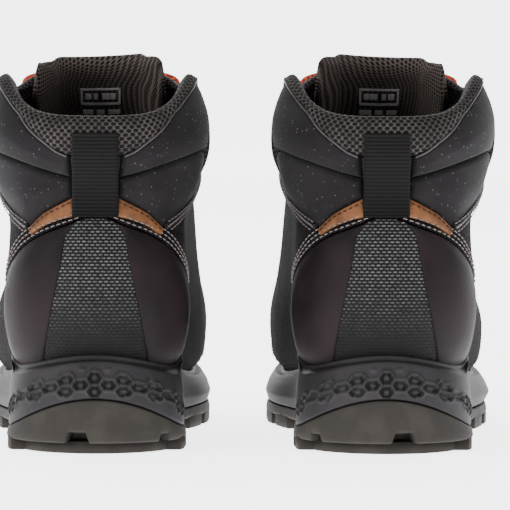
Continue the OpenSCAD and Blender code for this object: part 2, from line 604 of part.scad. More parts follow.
// Where two strands cross between rows k and k + 1: one over, one under.
function crossing(k, over) =
    [last(180, (HOOK_V[k] + HOOK_V[k + 1]) / 2, lace_lift + 1.1 + (over ? lace_d + 0.6 : 0))];
knot = last(180, 0.985, lace_d * 2 + 1);
hook_rows = len(HOOK_V);
function half(side) = concat(
    [for (k = [0:hook_rows - 1]) each concat(
        round_hook(k, k % 2 == 0 ? side : -side),
        k < hook_rows - 1 ? crossing(k, (side > 0) == (k % 2 == 0)) : [])]);
knot_r = 4.8;
LACE = concat([knot + [knot_r + 0.2, 0, 0]], turned(half(1)), [last(180, HOOK_V[0], lace_lift + 1.1)],
              half(-1), [knot - [knot_r + 0.2, 0, 0]]);
module lace() {
    color("#d8522f") {
        cord(LACE, lace_d);
        translate(knot) sphere(r = knot_r);
    }
}

// Bow loops and free ends, each a list of [u, v, offset] over the laced front.
LOOP = [[175.5, 0.98, 12], [171, 0.965, 12], [164, 0.93, 12.5], [157, 0.88, 12], [152, 0.82, 11.5],
        [150, 0.76, 11.5], [152, 0.71, 11.5], [157, 0.68, 11.5], [163, 0.70, 11.5], [168, 0.75, 12],
        [171, 0.82, 13], [173, 0.89, 13.2], [175.5, 0.95, 10.5]];
END = [[178.6, 0.971, 13.2], [177.5, 0.92, 18], [175, 0.87, 18.5], [173, 0.81, 18], [172, 0.74, 17],
       [172.5, 0.68, 16], [173, 0.63, 15.5], [173.5, 0.59, 15.5]];
function lay(line, side) = [for (p = line) last(side * p[0], p[1], p[2])];
module lace_bow() {
    color("#d8522f") for (side = [1, -1]) {
        cord(lay(LOOP, side), lace_d);
        cord(lay(END, side), lace_d);
    }
}
module aglets() {
    color("#2a2a2a") for (side = [1, -1]) {
        tip = lay(END, side);
        n = len(tip);
        aim(tip[n - 1], tip[n - 1] - tip[n - 2]) cylinder(h = aglet_len, r = lace_d * 0.45);
    }
}

// ---- The pair ----

module piece(name) {
    if (name == "outsole") outsole();
    if (name == "midsole") midsole();
    if (name == "shank") shank();
    if (name == "insole_board") insole_board();
    if (name == "footbed") footbed();
    if (name == "lining") lining();
    if (name == "heel_stiffener") heel_stiffener();
    if (name == "toe_stiffener") toe_stiffener();
    if (name == "toe_bumper") toe_bumper();
    if (name == "vamp") vamp();
    if (name == "quarter_lateral") quarter_lateral();
    if (name == "quarter_medial") quarter_medial();
    if (name == "heel_strip") heel_strip();
    if (name == "heel_leather_lateral") heel_leather_lateral();
    if (name == "heel_leather_medial") heel_leather_medial();
    if (name == "accent_lateral") accent_lateral();
    if (name == "accent_medial") accent_medial();
    if (name == "collar_lower_lateral") collar_lower_lateral();
    if (name == "collar_lower_medial") collar_lower_medial();
    if (name == "collar_upper_lateral") collar_upper_lateral();
    if (name == "collar_upper_medial") collar_upper_medial();
    if (name == "backstay") backstay();
    if (name == "pull_tab") pull_tab();
    if (name == "tongue") tongue();
    if (name == "eyestay_lateral") eyestay_lateral();
    if (name == "eyestay_medial") eyestay_medial();
    if (name == "lace_hooks") lace_hooks();
    if (name == "lace") lace();
    if (name == "lace_bow") lace_bow();
    if (name == "aglets") aglets();
}
module right(name) { translate([pair_gap / 2, -sole_len / 2, 0]) piece(name); }
module left(name) { mirror([1, 0, 0]) right(name); }

for (p = PIECES) {
    left(p);
    right(p);
}
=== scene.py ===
"""A pair of mid-cut hiking boots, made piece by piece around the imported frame."""
import json

import bpy
import numpy as np
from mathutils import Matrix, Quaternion, Vector


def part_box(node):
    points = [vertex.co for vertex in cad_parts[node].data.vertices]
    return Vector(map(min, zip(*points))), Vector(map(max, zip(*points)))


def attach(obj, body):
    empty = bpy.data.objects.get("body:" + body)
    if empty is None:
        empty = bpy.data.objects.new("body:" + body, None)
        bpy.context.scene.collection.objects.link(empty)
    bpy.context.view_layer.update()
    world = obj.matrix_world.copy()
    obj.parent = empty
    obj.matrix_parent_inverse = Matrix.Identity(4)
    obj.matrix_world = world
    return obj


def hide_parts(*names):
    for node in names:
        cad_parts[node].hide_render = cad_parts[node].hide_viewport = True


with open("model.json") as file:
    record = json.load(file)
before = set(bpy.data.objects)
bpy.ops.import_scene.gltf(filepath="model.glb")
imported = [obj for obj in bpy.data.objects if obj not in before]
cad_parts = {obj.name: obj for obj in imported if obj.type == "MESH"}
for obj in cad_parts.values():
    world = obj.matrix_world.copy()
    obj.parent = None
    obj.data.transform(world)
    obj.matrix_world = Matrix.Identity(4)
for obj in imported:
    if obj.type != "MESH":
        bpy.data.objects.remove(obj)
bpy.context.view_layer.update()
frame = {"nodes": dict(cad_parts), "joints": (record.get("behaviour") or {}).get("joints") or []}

bl_info = {
    "name": "Hiking Boots",
    "version": (1, 0, 0),
    "blender": (4, 5, 0),
    "location": "View3D > Sidebar > Boots",
    "description": "Makes a pair of mid-cut hiking boots, one operator for each group of pieces",
    "category": "Object",
}

# Working units are millimetres in one boot's own place: x outwards from its
# centre line, y from the back of the heel to the toe, z up from the floor.
MM = 0.001
SIDES = {"right": 1, "left": -1}
# The outer and the inner side of one boot, and whether its lines are flipped over.
PARTS = {"lateral": False, "medial": True}
_low, _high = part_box("right_outsole")
SOLE_LEN = (_high.y - _low.y) / MM
HALF_PAIR = next(j for j in frame["joints"] if j["name"] == "right_tongue_tilt")["pos_m"][0] / MM
COLLAR_BACK_H, COLLAR_FRONT_H, RIM_SCOOP = 155, 173, 6.5
FEATHER_BACK_H, FEATHER_FRONT_H = 38, 31
HEEL_HALF, BALL_OUT, BALL_IN = 42, 54, 50.5
LUG_H, PLATE_TOP, TOE_SPRING, WRAP_H, LIP_OUT = 5, 10, 12, 25, 2.4
PANEL_T, PAD_T, LINING_T, STIFF_T, TONGUE_T, GAP = 1.8, 4, 1.3, 1, 7, 0.3
INNER_WALL = PANEL_T + STIFF_T + 3 * GAP + LINING_T
PADDED_UNDER = -(PANEL_T + STIFF_T) + 0.2
TAB_W, WEBBING_T, LACE_D = 21.5, 1.6, 4
# The footbed's underside over the feather line, and its thickness at the border.
BED_UNDER, BED_T = 2.4, 4.5

# Rows of the last, from the feather line up: v, back inset, back height
# share, front length share, front height share, heel, outer ball and inner
# ball width shares, arch pinch, heel round, toe round, dip of the side.
LAST_ROWS = np.array([
    [0.00, 12, 0.00, 0.964, 0.00, 0.857, 0.889, 0.851, 3, 42, 80, 8],
    [0.10, 7, 0.10, 0.985, 0.10, 0.940, 0.981, 0.970, 5, 44, 84, 14],
    [0.22, 4, 0.24, 0.974, 0.22, 1.000, 1.000, 1.000, 5, 46, 84, 13],
    [0.34, 5, 0.375, 0.898, 0.317, 1.000, 0.889, 0.950, 2, 46, 80, 9],
    [0.46, 8, 0.505, 0.797, 0.38, 0.971, 0.778, 0.911, 0, 46, 76, 4],
    [0.58, 12, 0.63, 0.682, 0.472, 0.983, 0.704, 0.891, 0, 46, 66, 0],
    [0.70, 13, 0.75, 0.584, 0.62, 1.107, 0.741, 0.871, 0, 46, 58, 0],
    [0.85, 9, 0.89, 0.492, 0.831, 1.214, 0.833, 0.891, 0, 48, 54, 0],
    [1.00, 10, 1.00, 0.420, 1.00, 1.085, 0.852, 0.911, 0, 46, 50, 0],
    [1.12, 17, 1.07, 0.375, 1.10, 0.965, 0.815, 0.871, 0, 42, 46, 0]])

# Lines that neighbouring panels share, as [u, v] on the outer side.
DOME = [[9.5, 0.533], [16, 0.515], [26, 0.488], [37, 0.445], [48, 0.38], [58, 0.30], [66, 0.18],
        [70, 0.003]]
STRIP = [[9.5, 0.533], [13.2, 0.48], [14.8, 0.38], [17, 0.28], [20.7, 0.17], [25.2, 0.06],
         [26.2, 0.03], [26.2, 0.003]]
ACCENT_TOP = [[9.5, 0.628], [16, 0.602], [24, 0.570], [33, 0.513]]
ACCENT_LOW = [[9.5, 0.557], [16, 0.546], [23, 0.527], [31.5, 0.490]]
SEAM = [[9.5, 0.706], [16, 0.722], [24, 0.746], [33, 0.773], [44, 0.797], [54, 0.808], [62, 0.795]]
STRAP = [[9.5, 0.632], [16, 0.606], [24, 0.574], [34, 0.516], [42, 0.552], [51, 0.60], [62, 0.652]]
MESH_EDGE = [[9.5, 0.797], [14, 0.820], [19, 0.865], [25, 0.912], [32, 0.965], [41, 0.985],
             [52, 0.99], [63, 0.99], [76, 0.99], [95, 0.99], [110, 0.99], [118, 0.99]]
CAP_TOP = [[114, 0.018], [121, 0.05], [131, 0.125], [143, 0.18], [160, 0.225], [180, 0.245]]
THROAT_LOW = [[116, 0.035], [125, 0.125], [141, 0.275], [157, 0.395], [169, 0.468], [180, 0.48]]
THROAT = [[169.3, 0.487], [168, 0.56], [166, 0.66], [164, 0.78], [162, 0.9], [161, 0.982]]
STEP_V = GAP / 110


# ---- The last: one surface that every panel is cut from ----

def smooth(a, b, x):
    t = np.clip((np.asarray(x, float) - a) / (b - a), 0, 1)
    return t * t * (3 - 2 * t)


def mix(a, b, t):
    return a + (b - a) * t


def row_slopes():
    n = len(LAST_ROWS)
    ends = [(LAST_ROWS[max(0, i - 1)], LAST_ROWS[min(n - 1, i + 1)]) for i in range(n)]
    return np.array([(b - a) / (b[0] - a[0]) for a, b in ends])


SLOPES = row_slopes()


def row_at(v):
    i = np.clip(np.searchsorted(LAST_ROWS[:, 0], v, side="right") - 1, 0, len(LAST_ROWS) - 2)
    h = (LAST_ROWS[i + 1, 0] - LAST_ROWS[i, 0])[..., None]
    t = (v - LAST_ROWS[i, 0])[..., None] / h
    q = t * t * (3 - 2 * t)
    return (LAST_ROWS[i] * (1 - q) + LAST_ROWS[i + 1] * q
            + SLOPES[i] * h * t * (1 - t) ** 2 - SLOPES[i + 1] * h * t * t * (1 - t))


def outline(u, back, front, heel, ball_out, ball_in, arch, heel_round, toe_round):
    """One closed outline round the foot: x, y and the share of its length."""
    s = np.where(u > 180, u - 360, np.where(u < -180, u + 360, u))
    w = np.abs(s)
    heel_turn, toe_turn = np.radians(w * 1.5), np.radians((180 - w) * 1.5)
    y = np.where(w < 60, back + heel_round * (1 - np.cos(heel_turn)),
                 np.where(w > 120, front - toe_round * (1 - np.cos(toe_turn)),
                          mix(back + heel_round, front - toe_round, (w - 60) / 60)))
    e = np.where(w < 60, np.sin(heel_turn), np.where(w > 120, np.sin(toe_turn), 1))
    c = (y - back) / (front - back)
    outer = s >= 0
    pinch = np.where(outer, 0.25, 1) * arch * np.exp(-((c - 0.42) / 0.13) ** 2)
    wide = mix(heel, np.where(outer, ball_out, ball_in), smooth(0.30, 0.68, c)) - pinch
    return np.where(outer, 1, -1) * e * wide, y, c


def skin(u, v):
    u, v = np.broadcast_arrays(np.asarray(u, float), np.asarray(v, float))
    r = row_at(v)
    x, y, c = outline(u, r[..., 1], r[..., 3] * SOLE_LEN, r[..., 5] * HEEL_HALF,
                      r[..., 6] * BALL_OUT, r[..., 7] * BALL_IN, r[..., 8], r[..., 9], r[..., 10])
    back = FEATHER_BACK_H + r[..., 2] * (COLLAR_BACK_H - FEATHER_BACK_H)
    front = FEATHER_FRONT_H + r[..., 4] * (COLLAR_FRONT_H - FEATHER_FRONT_H)
    dip = r[..., 11] * np.sin(np.pi * np.maximum(c, 0) ** 1.5) ** 2
    rise = mix(c, smooth(0, 0.38, c), smooth(0.78, 0.97, v))
    scoop = (RIM_SCOOP * smooth(0.34, 0.62, c) * (1 - smooth(0.76, 0.92, c))
             * smooth(0.8, 0.97, v) * (1 - smooth(1.02, 1.1, v)))
    return np.stack([x, y, mix(back, front, rise) - scoop - dip], -1)


def unit(p):
    return p / np.maximum(np.linalg.norm(p, axis=-1, keepdims=True), 1e-9)


def lengths(points, axis=0):
    """Distance run along one axis of a grid of points, from 0."""
    step = np.linalg.norm(np.diff(points, axis=axis), axis=-1)
    return np.concatenate([np.zeros_like(np.take(step, [0], axis)), np.cumsum(step, axis)], axis)


def between(a, b, share):
    """A grid of points from one row of points to another."""
    return a[:, None] * (1 - share)[None, :, None] + b[:, None] * share[None, :, None]


def spans(u, v):
    """Millimetres on the last for one unit of u and for one of v."""
    return (np.linalg.norm(skin(u + 1, v) - skin(u - 1, v), axis=-1) / 2,
            np.linalg.norm(skin(u, v + 0.01) - skin(u, v - 0.01), axis=-1) / 0.02)


def facing(u, v):
    """The outward direction of the last."""
    u, v = np.broadcast_arrays(np.asarray(u, float), np.asarray(v, float))
    return unit(np.cross(skin(u + 1.5, v) - skin(u - 1.5, v), skin(u, v + 0.01) - skin(u, v - 0.01)))


def last(u, v, off=0.0):
    return skin(u, v) + np.asarray(off, float)[..., None] * facing(u, v)


def pad_at(u, v):
    return PAD_T * smooth(0.5, 0.7, v) * (1 - smooth(108, 124, np.abs(u)))


def lining_out(u, v):
    return -(PANEL_T + STIFF_T + 3 * GAP + pad_at(u, v))


# The last laid flat: millimetres round from the back seam, and up.
FLAT_STEP_U, FLAT_STEP_V = 2.0, 0.01
FLAT_U = np.arange(-232.0, 233.0, FLAT_STEP_U)
FLAT_V = np.arange(0.0, 1.16, FLAT_STEP_V)
FLAT_GRID = skin(FLAT_U[:, None], FLAT_V[None, :])
FLAT_ROUND = lengths(FLAT_GRID, 0)
FLAT_ROUND -= FLAT_ROUND[np.searchsorted(FLAT_U, 0)]
FLAT_UP = lengths(FLAT_GRID, 1)


def flat(u, v):
    u, v = np.broadcast_arrays(np.asarray(u, float), np.asarray(v, float))
    i = np.clip((u - FLAT_U[0]) / FLAT_STEP_U, 0, len(FLAT_U) - 1.001)
    j = np.clip(v / FLAT_STEP_V, 0, len(FLAT_V) - 1.001)
    i0, j0 = i.astype(int), j.astype(int)
    a, b = i - i0, j - j0
    return np.stack([
        t[i0, j0] * (1 - a) * (1 - b) + t[i0 + 1, j0] * a * (1 - b)
        + t[i0, j0 + 1] * (1 - a) * b + t[i0 + 1, j0 + 1] * a * b for t in (FLAT_ROUND, FLAT_UP)], -1)


# ---- Mesh making ----

def undulate(points, length, seed):
    """A soft unevenness between -1 and 1 with waves of about that length."""
    rng = np.random.RandomState(seed)
    total = 0
    for k in range(6):
        way = unit(rng.normal(size=3)) * 2 * np.pi / (length * (0.6 + 0.8 * rng.rand()))
        total = total + np.sin(points @ way + rng.rand() * 6.28)
    return total / 6


def grid_faces(ni, nj, close_i=False, close_j=False):
    i, j = np.meshgrid(np.arange(ni if close_i else ni - 1), np.arange(nj if close_j else nj - 1),
                       indexing="ij")
    i2, j2 = (i + 1) % ni, (j + 1) % nj
    return np.stack([i * nj + j, i2 * nj + j, i2 * nj + j2, i * nj + j2], -1).reshape(-1, 4)


def joined(*parts):
    """Several (points, faces, flat) as one."""
    points, faces, flats, n = [], [], [], 0
    for p, f, t in parts:
        points.append(p.reshape(-1, 3))
        faces.append(f + n)
        flats.append(t.reshape(-1, 2))
        n += len(points[-1])
    return np.concatenate(points), np.concatenate(faces), np.concatenate(flats)


def shell(outer, inner, flat_map):
    """A closed shell from an outer and an inner grid of points."""
    ni, nj = outer.shape[:2]
    n = ni * nj
    top = grid_faces(ni, nj)
    rim = np.concatenate([np.arange(ni) * nj, (ni - 1) * nj + np.arange(1, nj),
                          np.arange(ni - 2, -1, -1) * nj + nj - 1, np.arange(nj - 2, 0, -1)])
    after = np.roll(rim, -1)
    border = np.stack([rim, rim + n, after + n, after], -1)
    faces = np.concatenate([top, top[:, ::-1] + n, border])
    return (np.concatenate([outer.reshape(-1, 3), inner.reshape(-1, 3)]), faces,
            np.concatenate([flat_map.reshape(-1, 2)] * 2))


def placed(points, side):
    p = np.asarray(points, float)
    return np.stack([side * (p[..., 0] + HALF_PAIR), p[..., 1] - SOLE_LEN / 2, p[..., 2]], -1) * MM


def make(name, side_name, shape, material, nodes=(), body="boot"):
    """A piece of one boot from (points, faces, flat) in that boot's place."""
    points, faces, flat_map = shape[0].reshape(-1, 3), shape[1], shape[2].reshape(-1, 2)
    side = SIDES[side_name]
    if side < 0:
        faces = faces[:, ::-1]
    full = side_name + "_" + name
    mesh = bpy.data.meshes.new(full)
    mesh.vertices.add(len(points))
    mesh.vertices.foreach_set("co", placed(points, side).astype(np.float32).ravel())
    mesh.loops.add(faces.size)
    mesh.loops.foreach_set("vertex_index", faces.astype(np.int32).ravel())
    mesh.polygons.add(len(faces))
    mesh.polygons.foreach_set("loop_start", np.arange(0, faces.size, 4, dtype=np.int32))
    layer = mesh.uv_layers.new(name="flat")
    layer.data.foreach_set("uv", flat_map[faces.ravel()].astype(np.float32).ravel())
    mesh.update(calc_edges=True)
    mesh.polygons.foreach_set("use_smooth", np.ones(len(faces), bool))
    mesh.validate()
    obj = bpy.data.objects.new(full, mesh)
    bpy.context.scene.collection.objects.link(obj)
    obj.data.materials.append(MATERIALS[material])
    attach(obj, side_name + "_" + body)
    if nodes:
        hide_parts(*[side_name + "_" + n for n in nodes])
    return obj


# Steps between two points of a line, and how many of them its corners are rounded over.
LINE_FINE, LINE_ROUND = 40, 14


def line_points(line, t):
    """Points along a line of [u, v] points, with its corners rounded."""
    line = np.asarray(line, float)
    n = len(line) - 1
    fine = np.linspace(0, 1, LINE_FINE * n + 1)
    x = fine * n
    i = np.minimum(x.astype(int), n - 1)
    f = (x - i)[:, None]
    dense = line[i] * (1 - f) + line[i + 1] * f
    before = 2 * dense[0] - dense[LINE_ROUND:0:-1]
    after = 2 * dense[-1] - dense[-2:-LINE_ROUND - 2:-1]
    wide = np.concatenate([before, dense, after])
    kernel = np.hanning(2 * LINE_ROUND + 3)[1:-1]
    kernel /= kernel.sum()
    dense = np.stack([np.convolve(w, kernel, "valid") for w in wide.T], -1)
    return np.stack([np.interp(np.asarray(t, float), fine, d) for d in dense.T], -1)


def lower(line, dv):
    return [[p[0], p[1] - dv] for p in line]


def turned(line):
    return list(line)[::-1]


def flip(line):
    return [[-p[0], p[1]] for p in turned(line)]


def over_front(line):
    return list(line) + [[360 - p[0], p[1]] for p in turned(line)[1:]]


def spacing(n, ease=0.8):
    """Shares from 0 to 1 that lie closer together at both ends."""
    t = np.linspace(0, 1, n)
    return mix(t, 0.5 - 0.5 * np.cos(np.pi * t), ease)


def border_distance(points):
    """Millimetres from each grid point to the panel's border, rounded in the corners."""
    def both_ways(p):
        run = lengths(p)
        return np.minimum(run, run[-1] - run)
    a = both_ways(points) + 1e-3
    b = both_ways(points.transpose(1, 0, 2)).T + 1e-3
    return (a ** -4 + b ** -4) ** -0.25


def panel(first, second, out=0.0, under=-PANEL_T, puff=0.0, reach=8.0, edge=0.9, padded=False,
          inner_side=False, step=1.2, waves=(0.0, 18, 0), detail=None):
    """A panel of the upper between two lines, its edges rounded and its middle puffed."""
    if inner_side:
        first, second = flip(first), flip(second)
    t = np.linspace(0, 1, 30)
    a, b = (line_points(line, t) for line in (first, second))
    along = lengths(skin(*((a + b) / 2).T))[-1]
    across = np.linalg.norm(skin(*b.T) - skin(*a.T), axis=-1).max()
    ti, tj = spacing(max(8, int(along / step))), spacing(max(6, int(across / step)))
    u, v = np.moveaxis(between(line_points(first, ti), line_points(second, ti), tj), -1, 0)
    bare = skin(u, v)
    d = border_distance(bare)
    fall = edge * (1 - np.sqrt(np.maximum(0, 1 - (1 - np.minimum(d / edge, 1)) ** 2)))
    off = out + puff * (1 - np.exp(-(d / reach) ** 1.4)) - fall
    off = off + waves[0] * undulate(bare, waves[1], waves[2]) * smooth(0, 8, d)
    if detail is not None:
        off = off + detail(u, v, d, flat(u, v))
    down = under - (pad_at(u, v) if padded else 0)
    return shell(last(u, v, off), last(u, v, down), flat(u, v))


def along_path(points, step):
    """A smooth path through points, resampled at even steps."""
    p = np.asarray(points, float)
    n = len(p) - 1
    x = np.linspace(0, n, 24 * n + 1)
    i = np.minimum(x.astype(int), n - 1)
    f = (x - i)[:, None]
    a, b, c, d = p[np.maximum(i - 1, 0)], p[i], p[i + 1], p[np.minimum(i + 2, n)]
    fine = 0.5 * (2 * b + (c - a) * f + (2 * a - 5 * b + 4 * c - d) * f ** 2
                  + (3 * b - a - 3 * c + d) * f ** 3)
    run = lengths(fine)
    t = np.linspace(0, run[-1], max(3, int(run[-1] / step) + 1))
    return np.stack([np.interp(t, run, fine[:, k]) for k in range(3)], -1)


def tube(path, radius, sides=12, flatten=1.0, facings=None):
    """A round, or flattened, closed tube along a path."""
    n = len(path)
    ahead = unit(np.gradient(path, axis=0))
    if facings is None:
        normal = np.zeros_like(path)
        normal[0] = unit(np.cross(ahead[0], [0.3, 0.5, 0.81]))
        for i in range(1, n):
            normal[i] = unit(normal[i - 1] - ahead[i] * (normal[i - 1] @ ahead[i]))
    else:
        normal = unit(facings - ahead * np.sum(facings * ahead, -1, keepdims=True))
    other = np.cross(ahead, normal)
    radius = np.broadcast_to(np.asarray(radius, float), (n,)).copy()
    turn = np.linspace(0, 2 * np.pi, sides, endpoint=False)
    ring = (np.cos(turn)[None, :, None] * normal[:, None] * flatten
            + np.sin(turn)[None, :, None] * other[:, None])
    points = path[:, None] + ring * radius[:, None, None]
    ends = [np.broadcast_to(path[k] + 0.25 * s * ahead[k] * radius[k], (1, sides, 3))
            for k, s in ((0, -1), (-1, 1))]
    points = np.concatenate([ends[0], points, ends[1]])
    run = np.pad(lengths(path), 1, "edge")
    flat_map = np.stack(np.broadcast_arrays(run[:, None], (turn / (2 * np.pi) * 12)[None, :]), -1)
    return points, grid_faces(n + 2, sides, close_j=True)[:, ::-1], flat_map


def thread(line, off, pitch, length, radius):
    """A row of stitches along a line of [u, v], each a short arched tuft of thread."""
    t = np.linspace(0, 1, 300)
    uv = line_points(line, t)
    base, up = last(uv[:, 0], uv[:, 1], off), facing(uv[:, 0], uv[:, 1])
    run = lengths(base)
    starts = np.arange(0.0, run[-1] - length, pitch)
    if not len(starts):
        return []
    shares = np.array([0.0, 0.12, 0.5, 0.88, 1.0])
    sink = np.array([-0.5, 0.1, 0.35, 0.1, -0.5]) * radius
    thick = np.array([0.35, 0.9, 1.0, 0.9, 0.35]) * radius
    s = starts[:, None] + shares[None, :] * length
    centre = np.stack([np.interp(s, run, base[:, k]) for k in range(3)], -1)
    normal = unit(np.stack([np.interp(s, run, up[:, k]) for k in range(3)], -1))
    centre = centre + normal * sink[None, :, None]
    ahead = unit(centre[:, -1:] - centre[:, :1])
    other = np.cross(ahead, normal)
    sides = 6
    turn = np.linspace(0, 2 * np.pi, sides, endpoint=False)
    points = (centre[:, :, None] + thick[None, :, None, None]
              * (np.cos(turn)[None, None, :, None] * normal[:, :, None]
                 + np.sin(turn)[None, None, :, None] * other[:, :, None]))
    faces = grid_faces(len(shares), sides, close_j=True)[:, ::-1]
    cap = np.array([[0, 1, 2, 3], [0, 3, 4, 5]])
    faces = np.concatenate([faces, cap, (cap + (len(shares) - 1) * sides)[:, ::-1]])
    per = len(shares) * sides
    all_faces = (faces[None] + np.arange(len(starts))[:, None, None] * per).reshape(-1, 4)
    flats = np.stack(np.broadcast_arrays(s[:, :, None], turn[None, None, :]), -1)
    return [(points, all_faces, flats)]


def beside_line(line, mm):
    """A line moved sideways on the last by millimetres, to its left."""
    p = line_points(line, np.linspace(0, 1, 40))
    span = np.stack(spans(p[:, 0], p[:, 1]), -1)
    way = unit(np.gradient(p, axis=0) * span)
    return p + np.stack([-way[:, 1], way[:, 0]], -1) * mm / span


# ---- Materials ----

def hex_rgb(code):
    """sRGB hex to linear colour."""
    values = [int(code[k:k + 2], 16) / 255 for k in (0, 2, 4)]
    return tuple(c / 12.92 if c <= 0.04045 else ((c + 0.055) / 1.055) ** 2.4 for c in values)


def rgba(code):
    return (*hex_rgb(code), 1.0)


def shade(value):
    """A colour for a socket, from a hex code, a tone of the panel or another node."""
    if isinstance(value, str):
        return rgba(value)
    return value if isinstance(value, bpy.types.NodeSocket) else (*value, 1.0)


def add(tree, kind, inputs=None, **settings):
    """Adds a node; an input given as a socket is linked, any other value is set."""
    node = tree.nodes.new(kind)
    for key, value in settings.items():
        setattr(node, key, value)
    for key, value in (inputs or {}).items():
        if isinstance(value, bpy.types.NodeSocket):
            tree.links.new(value, node.inputs[key])
        else:
            node.inputs[key].default_value = value
    return node


def calc(tree, operation, a, b=0.0):
    return add(tree, "ShaderNodeMath", {0: a, 1: b}, operation=operation).outputs[0]


def times(tree, a, b):
    return calc(tree, "MULTIPLY", a, b)


def plus(tree, a, b):
    return calc(tree, "ADD", a, b)


def minus(tree, a, b):
    return calc(tree, "SUBTRACT", a, b)


def blended(tree, share, a, b):
    return add(tree, "ShaderNodeMix", {0: share, 6: a, 7: b}, data_type="RGBA").outputs[2]


def ramp(tree, value, low, high, to_low=0.0, to_high=1.0):
    return add(tree, "ShaderNodeMapRange", {0: value, 1: low, 2: high, 3: to_low, 4: to_high},
               interpolation_type="SMOOTHSTEP").outputs[0]


def laid_flat(tree):
    """The two coordinates of the flat map, in millimetres."""
    uv = add(tree, "ShaderNodeUVMap", uv_map="flat").outputs[0]
    return add(tree, "ShaderNodeSeparateXYZ", {0: uv}).outputs[:2]


def spots(tree, x, y, pitch, row, wide, high):
    """Staggered oval spots: 1 inside a spot, 0 between, from sizes in millimetres."""
    line = calc(tree, "DIVIDE", y, row)
    odd = calc(tree, "MODULO", calc(tree, "FLOOR", plus(tree, line, 4000.0)), 2.0)
    column = plus(tree, calc(tree, "DIVIDE", x, pitch), times(tree, odd, 0.5))
    across = minus(tree, calc(tree, "FRACT", column), 0.5)
    up = minus(tree, calc(tree, "FRACT", line), 0.5)
    a = calc(tree, "POWER", times(tree, across, 2 * pitch / wide), 2.0)
    b = calc(tree, "POWER", times(tree, up, 2 * row / high), 2.0)
    return ramp(tree, plus(tree, a, b), 1.5, 0.5)


def ribs(tree, x, pitch):
    """Even ribs across a coordinate, 0 in the groove and 1 on the crown."""
    wave = calc(tree, "SINE", times(tree, x, 2 * np.pi / pitch))
    return plus(tree, times(tree, wave, 0.5), 0.5)


def noise(tree, grain_mm, detail=3.0, rough=0.55):
    """Noise whose grains are about that many millimetres wide, in the object's own place."""
    place = add(tree, "ShaderNodeTexCoord").outputs["Object"]
    return add(tree, "ShaderNodeTexNoise",
               {"Vector": place, "Scale": 1 / (grain_mm * MM), "Detail": detail,
                "Roughness": rough}).outputs[0]


def cells(tree, grain_mm, feature="F1"):
    place = add(tree, "ShaderNodeTexCoord").outputs["Object"]
    return add(tree, "ShaderNodeTexVoronoi", {"Vector": place, "Scale": 1 / (grain_mm * MM)},
               feature=feature)


def bump(tree, height, depth_mm, before=None):
    inputs = {"Height": height, "Distance": depth_mm * MM, "Strength": 1.0}
    if before is not None:
        inputs["Normal"] = before
    return add(tree, "ShaderNodeBump", inputs).outputs[0]


def begin():
    """A new material and its node tree."""
    mat = bpy.data.materials.new("finish")
    mat.use_nodes = True
    return mat, mat.node_tree


# Cloth, rubber and dressed leather all throw back little of a soft light.
DULL = 0.12


def material(mat, name, colour, roughness, normal=None, gloss=DULL, **sockets):
    """Names a material and fills its shader: sockets are linked, other values are set."""
    mat.name = name
    shader = mat.node_tree.nodes["Principled BSDF"]
    values = {"Base Color": colour, "Roughness": roughness, "Normal": normal,
              "Specular IOR Level": gloss, **sockets}
    for key, value in values.items():
        if isinstance(value, bpy.types.NodeSocket):
            mat.node_tree.links.new(value, shader.inputs[key])
        elif value is not None:
            shader.inputs[key].default_value = value
    return mat


MATERIALS = {}


